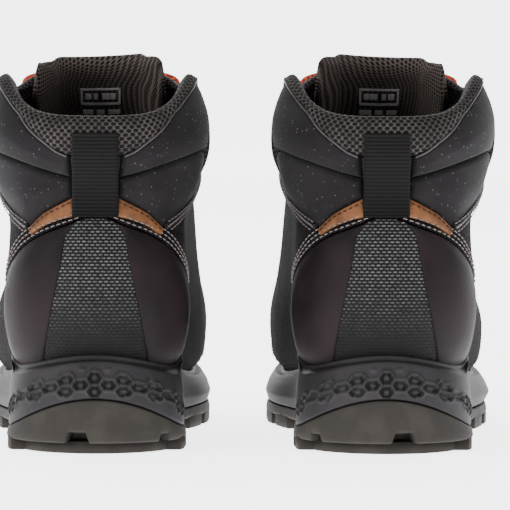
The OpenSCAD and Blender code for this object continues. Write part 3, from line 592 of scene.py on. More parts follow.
def make_materials(tones):
    """One material for each real finish on the boots."""
    def keep(key, mat, name, share, low, high, roughness, normal, **sockets):
        """Keeps a finish whose colour goes from low to high with the share."""
        colour = blended(mat.node_tree, share, shade(low), shade(high))
        MATERIALS[key] = material(mat, name, colour, roughness, normal, **sockets)

    # Carbon rubber, moulded: matt olive-grey with a fine mould grain and dust in its low places.
    mat, t = begin()
    dust = ramp(t, noise(t, 14), 0.42, 0.68)
    grain = noise(t, 0.7, 4)
    keep("rubber", mat, "Moulded Carbon Rubber", dust, tones.outsole, "322f2b",
         ramp(t, grain, 0.3, 0.7, 0.62, 0.78), bump(t, grain, 0.10))

    # EVA foam, compression moulded: near black, its skin slightly satin on the crowns.
    mat, t = begin()
    grain = noise(t, 0.5, 4)
    cloud = noise(t, 20)
    keep("foam", mat, "Moulded EVA Foam", ramp(t, cloud, 0.35, 0.7), tones.midsole, "242223",
         ramp(t, grain, 0.3, 0.7, 0.52, 0.68), bump(t, grain, 0.05), gloss=0.2)

    # Full-grain leather, smooth finished: dark plum that burnishes lighter, with fine pores.
    mat, t = begin()
    pores = cells(t, 0.9, "SMOOTH_F1").outputs["Distance"]
    cloud = noise(t, 26, 4)
    wear = ramp(t, cloud, 0.38, 0.66)
    grain = bump(t, noise(t, 1.6, 5), 0.10, bump(t, pores, 0.06))
    keep("counter", mat, "Smooth Finished Leather", wear, tones.counter, "1c1417",
         ramp(t, cloud, 0.3, 0.7, 0.56, 0.7), grain)

    # Ballistic nylon, basket woven: pale yarn crowns on black that fade towards the sole.
    mat, t = begin()
    x, y = laid_flat(t)
    crown = spots(t, x, y, 2.55, 1.55, 2.0, 0.9)
    fade = ramp(t, plus(t, y, times(t, noise(t, 6), 12.0)), 18.0, 58.0)
    pale = times(t, times(t, crown, fade), ramp(t, noise(t, 2.2), 0.3, 0.62, 0.35, 0.95))
    keep("ballistic", mat, "Woven Ballistic Nylon", pale, "0f0e0f", "585958", 0.6,
         bump(t, crown, 0.45))

    # Drawn nubuck, waxed: grey-brown with a soft nap and darker creases.
    mat, t = begin()
    cloud = noise(t, 18, 5)
    nap = noise(t, 0.8, 5)
    keep("nubuck", mat, "Waxed Nubuck", ramp(t, cloud, 0.32, 0.68), tones.upper, "3f3936",
         ramp(t, cloud, 0.3, 0.7, 0.5, 0.68), bump(t, nap, 0.12, bump(t, noise(t, 5, 3), 0.35)))

    # Ripstop nylon over foam: dark, its crossing ribs two millimetres apart, with a few pale yarns.
    mat, t = begin()
    x, y = laid_flat(t)
    slant = plus(t, x, times(t, y, 0.8))
    weave = times(t, ribs(t, slant, 2.2), ribs(t, minus(t, x, times(t, y, 1.1)), 2.0))
    keep("ripstop", mat, "Ribbed Ripstop Nylon", times(t, weave, ramp(t, noise(t, 3), 0.4, 0.7)),
         "131112", "322d2b", 0.88, bump(t, weave, 0.5), gloss=0.06)

    # Nylon-faced softshell: slate grey with pale pinpoint yarns and fine level ribs at the sides.
    mat, t = begin()
    x, y = laid_flat(t)
    fleck = cells(t, 1.9)
    point = times(t, ramp(t, fleck.outputs["Distance"], 0.24, 0.12),
                 ramp(t, fleck.outputs["Color"], 0.55, 0.75))
    side = ramp(t, calc(t, "ABSOLUTE", x), 62.0, 82.0)
    level = times(t, ribs(t, y, 2.1), side)
    sheen = blended(t, ramp(t, noise(t, 24), 0.35, 0.7), (*tones.collar, 1), rgba("1c1a1b"))
    keep("softshell", mat, "Padded Softshell Cloth", times(t, level, 0.35),
         blended(t, times(t, point, 0.75), sheen, rgba("5a5859")), "4a4644", 0.82,
         bump(t, level, 0.5, bump(t, noise(t, 0.6, 3), 0.10)),
         **{"Sheen Weight": 0.04, "Sheen Roughness": 0.5})

    # Spacer mesh, knitted: warm grey, with holes three millimetres apart that are painted near black as
    # the shade in their depth.
    mat, t = begin()
    x, y = laid_flat(t)
    shaded_hole = spots(t, x, y, 3.1, 1.75, 1.9, 1.75)
    keep("mesh", mat, "Knitted Spacer Mesh", shaded_hole,
         blended(t, ramp(t, noise(t, 9), 0.35, 0.7), (*tones.lining, 1), rgba("403b38")), "090808",
         0.75, bump(t, minus(t, 1.0, shaded_hole), 0.9))

    # Knitted polyester, brushed: near black low down as painted shade inside the boot, and paler
    # towards its top, partly its own mesh colour and partly painted light; its holes are painted near
    # black as shade.
    mat, t = begin()
    x, y = laid_flat(t)
    shaded_hole = spots(t, x, y, 3.1, 1.75, 1.7, 1.5)
    keep("tongue", mat, "Brushed Knit Polyester", times(t, shaded_hole, 0.9),
         blended(t, ramp(t, y, 150.0, 172.0), rgba("0f0c0b"), rgba("5e5550")), "080707", 0.78,
         bump(t, minus(t, 1.0, shaded_hole), 0.7))

    # Grosgrain webbing, woven: black, its level ribs under two millimetres apart.
    mat, t = begin()
    x, y = laid_flat(t)
    rib = ribs(t, y, 1.7)
    keep("webbing", mat, "Grosgrain Webbing", times(t, rib, ramp(t, y, 108.0, 138.0, 0.25, 1.0)),
         "070708", "110f0e", 0.75, bump(t, rib, 0.16, bump(t, noise(t, 0.5, 3), 0.08)))

    # Vegetable-tanned leather, smooth: cognac, darker where it was burnished and handled.
    mat, t = begin()
    cloud = noise(t, 7, 5)
    keep("tan", mat, "Tan Leather", ramp(t, cloud, 0.35, 0.68), tones.accent, "523520",
         ramp(t, cloud, 0.3, 0.7, 0.5, 0.62),
         bump(t, cells(t, 0.8, "SMOOTH_F1").outputs["Distance"], 0.08))

    # Polyurethane-coated nylon: almost black, with a fine plain weave under the coat.
    mat, t = begin()
    x, y = laid_flat(t)
    weave = times(t, ribs(t, x, 1.6), ribs(t, y, 1.6))
    keep("coated", mat, "Coated Nylon Tape", weave, "131112", "2c2828", 0.5, bump(t, weave, 0.25))

    # Rubber, moulded over the toe: black and satin, scuffed paler.
    mat, t = begin()
    scuff = ramp(t, noise(t, 9, 6, 0.7), 0.5, 0.72)
    keep("bumper", mat, "Moulded Toe Rubber", scuff, "171516", "2b2828",
         ramp(t, scuff, 0, 1, 0.4, 0.65), bump(t, noise(t, 1.1, 3), 0.15))

    # Polyester lace, braided: orange-red with darker flecks between the crossing yarns.
    mat, t = begin()
    x, y = laid_flat(t)
    one = ribs(t, plus(t, x, times(t, y, 0.5)), 2.0)
    two = ribs(t, minus(t, x, times(t, y, 0.5)), 2.0)
    braid = calc(t, "MAXIMUM", one, two)
    fleck = ramp(t, noise(t, 1.8), 0.56, 0.64)
    keep("lace", mat, "Braided Polyester Cord", times(t, fleck, 0.8),
         blended(t, braid, rgba("7a2413"), (*tones.lace, 1)), "3a2320", 0.62, bump(t, braid, 0.3))

    # Spun polyester thread: pale grey, matt, thick enough to see stitch by stitch.
    for key, name, code in (("thread", "Pale Bonded Thread", "7e7673"),
                            ("dark_thread", "Brown Bonded Thread", "3a2418")):
        mat, t = begin()
        x, y = laid_flat(t)
        twist = ribs(t, plus(t, x, times(t, y, 0.3)), 0.8)
        keep(key, mat, name, twist, [c * 0.6 for c in hex_rgb(code)], code, 0.55,
             bump(t, twist, 0.08))

    # Thermoplastic piping, extruded: dark grey with a satin crown that catches the light.
    mat, t = begin()
    keep("piping", mat, "Extruded Piping", noise(t, 3), "262425", "4c4a4a", 0.4,
         bump(t, noise(t, 1, 2), 0.05))

    # Knitted binding tape, folded over the edge: smooth and black.
    mat, t = begin()
    x, y = laid_flat(t)
    rib = ribs(t, x, 1.2)
    keep("binding", mat, "Folded Binding Tape", rib, "121112", "252324", 0.5, bump(t, rib, 0.12))

    # Nickel-plated steel, blackened: smooth dark metal with rubbed paler edges.
    mat, t = begin()
    rub = ramp(t, noise(t, 3, 4), 0.45, 0.7)
    keep("metal", mat, "Blackened Steel", rub, "4c4c50", "8a8a8c", ramp(t, rub, 0, 1, 0.38, 0.26),
         bump(t, noise(t, 0.8), 0.03), Metallic=1.0)

    # Acetate film, shrunk on: glossy dark sleeve with a crimp.
    mat, t = begin()
    keep("acetate", mat, "Shrunk Acetate Sleeve", noise(t, 4), "2a1512", "3d1f19", 0.22,
         bump(t, noise(t, 2), 0.05))

    # Printed satin tape: pale grey with its weave showing.
    mat, t = begin()
    keep("label", mat, "Printed Satin Tape", noise(t, 1.2, 4), "8f8c8a", "dddad8", 0.5,
         bump(t, noise(t, 0.7), 0.05))

    # Inner boards: pressed fibre, nylon plate and thermoformed sheet, each with its marks.
    for key, name, low, high, rough, grain_mm in (
            ("fibre", "Pressed Fibre Board", "a2916f", "c4b492", 0.85, 1.5),
            ("nylon", "Moulded Nylon Plate", "6f7274", "85888a", 0.45, 2.5),
            ("board", "Thermoformed Board", "c3bba8", "dcd6c8", 0.7, 2.0),
            ("footbed", "Knit-Covered Foam", "3c3c3a", "5b5a55", 0.9, 1.2)):
        mat, t = begin()
        grain = noise(t, grain_mm, 5)
        keep(key, mat, name, ramp(t, grain, 0.35, 0.65), low, high, rough, bump(t, grain, 0.12))


def paint(node, key):
    """A CAD node keeps its shape and gets a finish."""
    obj = frame["nodes"][node]
    obj.data.materials.clear()
    obj.data.materials.append(MATERIALS[key])


# ---- Sole shapes ----

def sole(u, inset, ball_out=0.0, ball_in=0.0):
    x, y, _ = outline(u, inset, SOLE_LEN - inset, HEEL_HALF - inset, BALL_OUT + 3.5 + ball_out - inset,
                      BALL_IN + 2.5 + ball_in - inset, 6, 42, 96)
    return x, y


def spring(y):
    return TOE_SPRING * (np.maximum(0, y / SOLE_LEN - 0.74) / 0.26) ** 2


def wrap_z(u):
    _, y = sole(u, 0)
    round_heel = np.where(np.abs(u) < 60, np.cos(np.radians(np.abs(u) * 1.5)) ** 2, 0)
    return mix(PLATE_TOP, WRAP_H, round_heel) + spring(y)


def sole_ring(u, inset, z, ball_out=0.0, ball_in=0.0, wide=1.0):
    x, y = sole(u, inset, ball_out, ball_in)
    return np.stack([x * wide, y, z + 0 * x], -1)


def lip_v(u):
    w = np.abs(u)
    back = mix(0.068, 0.014, smooth(0, 50, w)) + 0.045 * np.exp(-((w - 61) / 7) ** 2)
    return np.where(w < 90, back, mix(0.014, 0.035, smooth(130, 180, w)))


def soften(rings, per, share=0.5):
    """Rings of points with more rings between them, and their corners rounded."""
    stack = np.array(rings)
    n = len(stack) - 1
    x = np.linspace(0, n, per * n + 1)
    i = np.minimum(x.astype(int), n - 1)
    f = (x - i)[:, None, None]
    dense = stack[i] * (1 - f) + stack[i + 1] * f
    half = max(1, int(per * share / 2))
    kernel = np.hanning(2 * half + 3)[1:-1]
    kernel /= kernel.sum()
    wide = np.concatenate([np.repeat(dense[:1], half, 0), dense, np.repeat(dense[-1:], half, 0)])
    return sum(k * wide[j:j + len(dense)] for j, k in enumerate(kernel))


def ring_solid(rings):
    """A solid from closed rings; the first and the last lie flat on a middle line."""
    points = rings.transpose(1, 0, 2)
    run = lengths(points, 1)
    turn = lengths(points[:, points.shape[1] // 2])
    flat_map = np.stack([np.broadcast_to(turn[:, None], run.shape), run], -1)
    return points, grid_faces(*points.shape[:2], close_i=True), flat_map


HEEL_U = np.concatenate([np.arange(-180, -66, 1.2), np.arange(-66, 66, 0.3), np.arange(66, 180, 1.2)])


def notch(x, y):
    """Grooves that run out through the lower edge of the heel's back face."""
    wide = smooth(2.0, 4.4, x) - smooth(11.6, 14.0, x)
    narrow = smooth(-34.8, -33.4, x) - smooth(-29.6, -28.2, x)
    return (5.2 * wide + 3.4 * narrow) * (y < 20)


def outsole_shape():
    u = HEEL_U
    _, y0 = sole(u, 0)
    low = LUG_H + spring(y0)
    x0, y1 = sole(u, 2)
    cut = notch(x0, y1)
    wrap = wrap_z(u)
    heel = smooth(70, 40, np.abs(u))
    rings = [sole_ring(u, 20, low + 0.6, wide=0), sole_ring(u, 10.2, low + 0.6),
             sole_ring(u, 10, low + cut),
             sole_ring(u, 1.6, low + cut), sole_ring(u, 0.8, low + cut + 0.1),
             sole_ring(u, 0.2, low + cut + 0.9),
             sole_ring(u, 0, mix(low + cut, wrap, 0.4) * heel + (low + cut + 1.5) * (1 - heel)),
             sole_ring(u, 0.5, wrap - 0.7), sole_ring(u, 0.9, wrap - 0.1), sole_ring(u, 1.6, wrap),
             sole_ring(u, 4, wrap), sole_ring(u, 4.2, PLATE_TOP - 0.6 + spring(y0)),
             sole_ring(u, 20, PLATE_TOP - 0.6 + spring(y0), wide=0)]
    return ring_solid(soften(rings, 4, 0.45))


def block(outline_xy, low, high, soft=0.5, crescent=0):
    """A moulded lug: an outline stood up between two heights, its edges rounded.
    A crescent closes on its own middle line, which runs past that many points."""
    p = np.array(outline_xy, float)
    if crescent:
        fine, centre = p, (p + p[::-1]) / 2
    else:
        fine = np.concatenate([np.linspace(p[i], p[(i + 1) % len(p)], 7)[:-1] for i in range(len(p))])
        centre = p.mean(0)
    size = np.linalg.norm(p - centre, axis=1).mean()
    levels = [(0.0, low), (1 - 1.2 * soft / size, low), (1 - 0.4 * soft / size, low + 0.3 * soft),
              (1, low + soft),
              (1, high), (0.0, high)]
    points = np.array([np.column_stack([centre + (fine - centre) * k, np.full(len(fine), z)])
                       for k, z in levels])
    flat_map = np.stack([points[..., 0], points[..., 1] + points[..., 2]], -1)
    return points, grid_faces(len(levels), len(fine), close_j=True)[:, ::-1], flat_map


def turning(outline_xy):
    p = np.array(outline_xy, float)
    area = np.sum(p[:, 0] * np.roll(p[:, 1], -1) - p[:, 1] * np.roll(p[:, 0], -1))
    return p if area > 0 else p[::-1]


def lug_shapes():
    shapes = []

    def rim_lug(u1, u2, depth):
        a, b, c = (np.array(sole(u, 0.3)) for u in (u1, (u1 + u2) / 2, u2))
        b = b + [np.sign(b[0]) * 0.3, 0]
        def inward(p):
            return [p[0] - np.sign(p[0]) * depth, p[1]]
        lift = float(spring(b[1]))
        shapes.append(block(turning([a, b, c, inward(c), inward(b), inward(a)]), lift,
                            lift + LUG_H + 1.6))

    def chevron(x, y, w, d, way=1):
        lift = float(spring(y))
        shapes.append(block(turning([[x - w / 2, y], [x, y + way * d / 2], [x + w / 2, y],
                                     [x + w / 2, y + d * 0.7],
                                     [x, y + d * 0.7 + way * d / 2], [x - w / 2, y + d * 0.7]]),
                            lift, lift + LUG_H + 0.6))

    for s in (-1, 1):
        for u in (47, 61, 70, 79):
            rim_lug(s * u, s * (u + 7), 13)
        for u in (99, 110, 120, 130, 141, 153):
            rim_lug(s * u, s * (u + 8), 15)
    bend = np.arange(-52.0, 53.0, 4.0)
    back, front = np.stack(sole(bend, 5), -1), np.stack(sole(bend[::-1], 17), -1)
    shapes.append(block(turning(np.concatenate([back, front])), 0.0, LUG_H + 0.6, crescent=len(bend)))
    for k in range(3):
        chevron(0, 30 + 17 * k, 40 - 3 * k, 13, -1)
    for k in range(6):
        chevron(1.5, 182 + 18 * k, 52 - 3 * k, 13)
    return shapes


def honeycomb(across, z):
    """Relief of the moulded honeycomb round the heel: its walls stand, its cells are sunk."""
    shrink = 1 / (1 + np.abs(across) / 60)
    q = np.sign(across) * 60 * np.log(1 + np.abs(across) / 60)
    h = (z - 32.4 + 4.5 * (across / 33) ** 2) / shrink
    wide, high = 8.2, 6.5
    near = np.full(q.shape, 9.0)
    column = np.round(q / (0.75 * wide))
    for k in (-1, 0, 1):
        c = column + k
        dx = np.abs(q - c * 0.75 * wide) / (wide / 2)
        for centre in (-0.5, 0.5, 0.0):
            rows = np.where(c % 2 == 0, abs(centre) > 0.1, abs(centre) < 0.1)
            dy = np.abs(h - centre * high) / (high / 2)
            near = np.where(rows, np.minimum(near, np.maximum(dy, dx + dy / 2)), near)
    band = smooth(66, 60, np.abs(across))
    relief = (0.9 * smooth(1.2, 1.0, near) - 2.4 * smooth(0.86, 0.74, near)
              + 1.3 * smooth(0.5, 0.36, near))
    dash = 0.7 * np.exp(-((np.abs(across) - 6.1) / 1.7) ** 4) * np.exp(-((z - 39.2) / 0.6) ** 2)
    return band * relief * shrink ** 0.5 + dash


def midsole_shape():
    u = HEEL_U
    _, y0 = sole(u, 0)
    wrap = wrap_z(u)
    lip = lip_v(u)
    z1 = skin(u, lip)[..., 2]
    gap_z = wrap + 0.35
    floor = skin(u, 0)[..., 2] - 0.5
    hidden = last(u, 0, -1)
    hidden[:, 2] = floor
    middle = hidden * [0, 1, 1]
    under = sole_ring(u, 4.6, PLATE_TOP - 0.5 + spring(y0))
    rings = [under * [0, 1, 1], under, sole_ring(u, 4.4, gap_z), sole_ring(u, 2.0, gap_z),
             sole_ring(u, 1.0, gap_z + 0.7), sole_ring(u, 0.9, mix(gap_z, z1, 0.3), 2.2, 1.2),
             sole_ring(u, 1.6, mix(gap_z, z1, 0.6), 0.8, 0.2),
             sole_ring(u, 2.6, mix(gap_z, z1, 0.85), -1, -1.5),
             last(u, lip - 0.012, LIP_OUT + 0.3), last(u, lip, LIP_OUT - 0.4),
             last(u, lip + 0.002, 0.9), last(u, lip - 0.006, 0.2), last(u, 0.001, 0.2),
             hidden, middle]
    per = 7
    dense = soften(rings, per, 0.5)
    ahead = unit(np.roll(dense, -1, 1) - np.roll(dense, 1, 1)) * [1, 1, 0]
    outward = unit(np.stack([-ahead[..., 1], ahead[..., 0], 0 * ahead[..., 0]], -1))
    outward = np.where(outward[..., :1] * dense[..., :1] < 0, -outward, outward)
    outward = unit(np.where(np.abs(u)[None, :, None] < 3, np.array([0.0, -1.0, 0.0]), outward))
    run = lengths(dense[5 * per, :, :2])
    across = np.broadcast_to((run - run[np.argmin(np.abs(u))])[None, :], dense.shape[:2])
    row = np.arange(len(dense))[:, None] / per
    side_wall = smooth(3.9, 4.2, row) * smooth(8.2, 7.6, row) * (np.abs(u)[None] < 66)
    dense = dense + outward * (honeycomb(across, dense[..., 2]) * side_wall)[..., None]
    return ring_solid(dense)


# ---- Shapes of the upper ----

THROAT_U = 158


def on_line(line, u):
    line = np.asarray(line, float)
    return np.interp(np.abs(u), line[:, 0], line[:, 1])


def lining_shaft():
    """The mesh that rolls over the rim and lines the shaft."""
    u = np.arange(-THROAT_U, THROAT_U + 0.1, 1.25)
    edge = on_line(MESH_EDGE, u) + STEP_V
    edge = np.convolve(np.pad(edge, 3, "edge"), np.ones(7) / 7, "valid")
    out, thick = (lambda v: lining_out(u, v)), LINING_T
    wall = [0.76, 0.67, 0.58, 0.46, 0.33, 0.2, 0.1, 0.03]
    wide = smooth(0.02, 0.1, 1.012 - edge)
    mid = (edge + 1.0) / 2
    rows = [(edge - 0.004, -1.2), (edge, 0.1 + 0.3 * wide),
            (edge + 0.35 * (mid - edge), 0.9 + 0.4 * wide),
            (mid, 1.1 + 0.8 * wide), (mix(mid, 1.0, 0.6), 0.9 + 0.8 * wide), (1.0, 0.4),
            (1.013, -1.2), (1.018, -2.8), (1.012, -INNER_WALL + 0.3), (0.99, out(0.99) - 0.9),
            (0.94, out(0.94) - thick - 0.2), (0.88, out(0.88) - thick)]
    rows += [(v, out(v) - thick) for v in wall]
    rows += [(v, out(v)) for v in wall[::-1]]
    rows += [(edge - 0.01, out(edge) + 0.4)]
    points = soften([last(u, v, off) for v, off in rows], 5, 0.7).transpose(1, 0, 2)
    run = lengths(points, 1)
    rim = run[:, 5 * 6:5 * 6 + 1]
    x = np.broadcast_to(flat(u, 1.0)[:, :1], run.shape)
    return points, grid_faces(*points.shape[:2], close_j=True)[:, ::-1], np.stack([x, run - rim], -1)


def lining_front():
    u = np.arange(THROAT_U + 0.3, 360 - THROAT_U - 0.2, 1.4)
    top = 0.455
    rows = [(v * top, lining_out(180.0, 0.0)) for v in (0.03, 0.2, 0.5, 0.8, 0.97)]
    rows += [(v * top, lining_out(180.0, 0.0) - LINING_T) for v in (1.0, 0.9, 0.6, 0.3, 0.03)]
    points = soften([last(u, v, off) for v, off in rows], 4, 0.6).transpose(1, 0, 2)
    run = lengths(points, 1)
    x = np.broadcast_to(flat(u, 0.3)[:, :1], run.shape)
    return points, grid_faces(*points.shape[:2], close_j=True), np.stack([x, run], -1)


def tongue_edge(v):
    return mix(153, 134, smooth(0.48, 0.95, v))


def tongue_out(u, v, raised=1.0):
    w = np.where(u > 180, 360 - u, u)
    return (-(INNER_WALL + PAD_T * smooth(0.5, 0.7, v) * (1 - smooth(150, 160, w)) + 3 * GAP)
            + raised * (INNER_WALL + 3) * smooth(170, 177, w)
            * smooth(0.49, 0.54, v) * (1 - smooth(1.01, 1.09, v)))


def tongue_place(i, j):
    """Place on the tongue from shares across (0 outer edge, 1 inner edge) and up."""
    corner = np.clip((np.abs(2 * i - 1) - 0.55) / 0.45, 0, 1)
    v = mix(0.475, 1.13, j) - 0.065 * (1 - np.sqrt(1 - 0.95 * corner ** 2)) * j ** 3
    v = v + 0.03 * (i - 0.5) * j ** 3
    return mix(tongue_edge(v), 360 - tongue_edge(v), i), v


def tongue_face(i, j):
    """Offset of the tongue's front face from the last, and of its even inner face."""
    body = 1 - 0.6 * np.abs(2 * i - 1) ** 4
    thick = TONGUE_T * body * (1 - np.clip((j - 0.9) / 0.1, 0, 1) ** 2.2 * 0.7)
    u, v = tongue_place(i, j)
    back = 0.3 + 0.5 * (TONGUE_T - thick) * smooth(0.4, 0.6, j)
    quilt = (0.5 * undulate(skin(u, v), 30, 5)
             * smooth(0, 0.1, i) * smooth(1, 0.9, i) * smooth(1, 0.9, j))
    return tongue_out(u, v) - back, tongue_out(u, v, 0.0) - back - thick - quilt


def tongue_shape():
    i, j = np.meshgrid(spacing(70), spacing(90), indexing="ij")
    u, v = tongue_place(i, j)
    front, back = tongue_face(i, j)
    back = back + 0.9 * (1 - smooth(0, 3, border_distance(skin(u, v))))
    return shell(last(u, v, front), last(u, v, back), flat(u, v))


def tongue_binding(inner_side):
    """The tape folded over one side of the tongue, tapering to its upper end."""
    j = np.linspace(0.22, 0.96, 110)
    i = 0.994 + 0 * j if inner_side else 0.006 + 0 * j
    u, v = tongue_place(i, j)
    centre = last(u, v, np.mean(tongue_face(i, j), axis=0))
    return tube(centre, 2.3 * (1 - 0.85 * smooth(0.6, 0.96, j)), 14, facings=facing(u, v), flatten=0.95)


def label_shape():
    """A plain size label printed inside the tongue: a blank frame over blank bars."""
    parts = []
    def bar(i0, i1, j0, j1):
        i, j = np.meshgrid(np.linspace(i0, i1, 14), np.linspace(j0, j1, 8), indexing="ij")
        off = tongue_face(i, j)[1] - 0.12
        u, v = tongue_place(i, j)
        parts.append(shell(last(u, v, off), last(u, v, off - 0.25), flat(u, v)))
    left, right, low, high = 0.385, 0.615, 0.745, 0.835
    for i0, i1, j0, j1 in ((left, right, high - 0.012, high), (left, right, low, low + 0.012),
                           (left, left + 0.012, low, high), (right - 0.012, right, low, high)):
        bar(i0, i1, j0, j1)
    for k, wide in enumerate((0.035, 0.024, 0.045, 0.03)):
        bar(0.412 + 0.048 * k, 0.412 + 0.048 * k + wide, low + 0.028, high - 0.03)
    for k in range(2):
        bar(left + 0.01, 0.455, 0.70 - 0.04 * k, 0.722 - 0.04 * k)
        bar(0.475, 0.52, 0.70 - 0.04 * k, 0.722 - 0.04 * k)
        bar(0.54, right - 0.03 * k, 0.70 - 0.04 * k, 0.722 - 0.04 * k)
    return joined(*parts)


# The pull tab's ends on the last, and how much it bows round the heel.
TAB_LOW, TAB_TOP, TAB_BOW = 0.553, 0.908, 0.0048


def tab_place(x, t, off):
    v = mix(TAB_LOW, TAB_TOP, t)
    p = last(0, v, off)
    return np.stack([x, p[..., 1] + TAB_BOW * x * x, p[..., 2]], -1)


def pull_tab_shape():
    x, t = np.meshgrid(np.linspace(-TAB_W / 2, TAB_W / 2, 24), np.linspace(0, 1, 90), indexing="ij")
    lift = 0.8 + 2.6 * np.sin(np.pi * t) ** 2
    side = 1 - 0.5 * (np.abs(2 * x / TAB_W) > 0.96)
    outer = tab_place(x, t, lift + WEBBING_T * side)
    inner = tab_place(x, t, lift + WEBBING_T * (1 - side) * 0.8)
    height = outer[..., 2]
    return shell(outer, inner, np.stack([x, height], -1))


# ---- Lacing ----

HOOK_V = [0.52, 0.62, 0.73, 0.84, 0.945]
STAY_T, STAY_LIFT = 1.2, 4 * GAP
HOOK_BASE = STAY_LIFT + STAY_T + 0.2
LACE_LIFT = HOOK_BASE + 0.8 + LACE_D / 2 + 0.8
POST_R, KNOT_R = 1.1, 4.8


def hook_u(v):
    line = np.asarray(THROAT)
    return float(np.interp(v, line[:, 1], line[:, 0])) - 6


def beside(u, v, side, across, up, off):
    """A point some millimetres across and up from a place on the last."""
    per_u, per_v = spans(u, v)
    return last(side * (u + across / per_u), v + up / per_v, off)


def round_hook(k, side):
    r = POST_R + LACE_D / 2 + 2.4
    return [beside(hook_u(HOOK_V[k]), HOOK_V[k], side, -r * np.cos(np.radians(a)),
                   r * np.sin(np.radians(a)), LACE_LIFT)
            for a in (-70, 0, 70)]


def crossing(k, over):
    return [last(180, (HOOK_V[k] + HOOK_V[k + 1]) / 2, LACE_LIFT + 1.1 + (LACE_D + 0.6 if over else 0))]


KNOT = last(180, 0.985, LACE_D * 2 + 1)


def half_lace(side):
    path = []
    for k in range(len(HOOK_V)):
        path += round_hook(k, side if k % 2 == 0 else -side)
        if k < len(HOOK_V) - 1:
            path += crossing(k, (side > 0) == (k % 2 == 0))
    return path


LACE = ([KNOT + [KNOT_R + 0.2, 0, 0]] + half_lace(1)[::-1] + [last(180, HOOK_V[0], LACE_LIFT + 1.1)]
        + half_lace(-1) + [KNOT - [KNOT_R + 0.2, 0, 0]])
# One bow loop and one free end, as [u, v, offset] over the laced front.
LOOP = [[175.5, 0.98, 12], [171, 0.965, 12], [164, 0.93, 12.5], [157, 0.88, 12], [152, 0.82, 11.5],
        [150, 0.76, 11.5], [152, 0.71, 11.5], [157, 0.68, 11.5], [163, 0.70, 11.5], [168, 0.75, 12],
        [171, 0.82, 13], [173, 0.89, 13.2], [175.5, 0.95, 10.5]]
END = [[178.6, 0.971, 13.2], [177.5, 0.92, 18], [175, 0.87, 18.5], [173, 0.81, 18], [172, 0.74, 17],
       [172.5, 0.68, 16], [173, 0.63, 15.5], [173.5, 0.59, 15.5]]
AGLET_LEN = 22


def laid(line, side):
    return [last(side * p[0], p[1], p[2]) for p in line]


def lathe(profile, foot, way, around=24):
    """A turned part: a profile of [radius, height] stood on a point along a direction."""
    way = unit(np.asarray(way, float))
    a = unit(np.cross(way, [0.21, 0.35, 0.91]))
    b = np.cross(way, a)
    turn = np.linspace(0, 2 * np.pi, around, endpoint=False)
    points = np.array([[foot + way * h + r * (np.cos(t) * a + np.sin(t) * b) for t in turn]
                       for r, h in profile])
    heights = np.array([h for _, h in profile])
    flat_map = np.stack(np.broadcast_arrays(turn[None, :] * 3, heights[:, None]), -1)
    return points, grid_faces(len(profile), around, close_j=True)[:, ::-1], flat_map


HOOK_PROFILE = [(0, 0), (3.6, 0), (3.6, 0.5), (3.3, 0.8), (2.0, 1.0), (1.5, 1.5), (POST_R, 2.0),
                (POST_R, LACE_D + 1.8), (1.8, LACE_D + 2.2), (2.4, LACE_D + 2.4), (2.5, LACE_D + 2.7),
                (2.1, LACE_D + 3.05), (0, LACE_D + 3.1)]


# ---- Operators ----

def tone(name, description, code):
    return bpy.props.FloatVectorProperty(name=name, description=description, subtype="COLOR", size=3,
                                         default=hex_rgb(code))


def length(name, description, metres):
    return bpy.props.FloatProperty(name=name, description=description, default=metres, unit="LENGTH")


class BootTones(bpy.types.PropertyGroup):
    """Colours of the finishes."""
    outsole: tone("Outsole", "Rubber of the outsole", "2b2825")
    midsole: tone("Midsole", "Foam of the midsole", "1c1a1b")
    counter: tone("Heel leather", "Smooth leather of the heel", "120c0e")
    upper: tone("Upper", "Nubuck of the forefoot", "2e2926")
    collar: tone("Collar", "Padded cloth of the collar", "141213")
    lining: tone("Lining", "Spacer mesh of the lining", "312d2b")
    accent: tone("Accent", "Tan leather above the heel", "6c462b")
    lace: tone("Lace", "Braided lace", "d8522f")


class BootSizes(bpy.types.PropertyGroup):
    """Sizes of the soft surfaces and the sewing, in metres."""
    puff: length("Collar puff", "How far the collar pads swell", 0.0024)
    stitch_pitch: length("Stitch pitch", "Distance from one stitch to the next", 0.0031)
    stitch_length: length("Stitch length", "Length of thread that shows in a stitch", 0.0022)
    thread_radius: length("Thread radius", "Half the thickness of the thread", 0.00031)
    floor_size: length("Floor size", "Width of the floor", 14.0)


def sizes():
    return bpy.context.scene.boot_sizes


def each_boot(build):
    for side_name in SIDES:
        build(side_name)
    return {"FINISHED"}


def strap_climb(u):
    """How far the ankle strap stands off the last as it climbs from quarter to eyestay."""
    return 0.15 + (STAY_LIFT + 1.4) * smooth(134, 148, np.abs(u))


def sewn(side_name, name, rows, material="thread", body="boot"):
    """Rows of stitches, each a line of [u, v] and its height off the last, as one piece."""
    s = sizes()
    parts = []
    for line, off in rows:
        parts += thread(line, off, s.stitch_pitch / MM, s.stitch_length / MM, s.thread_radius / MM)
    return make(name, side_name, joined(*parts), material, body=body)


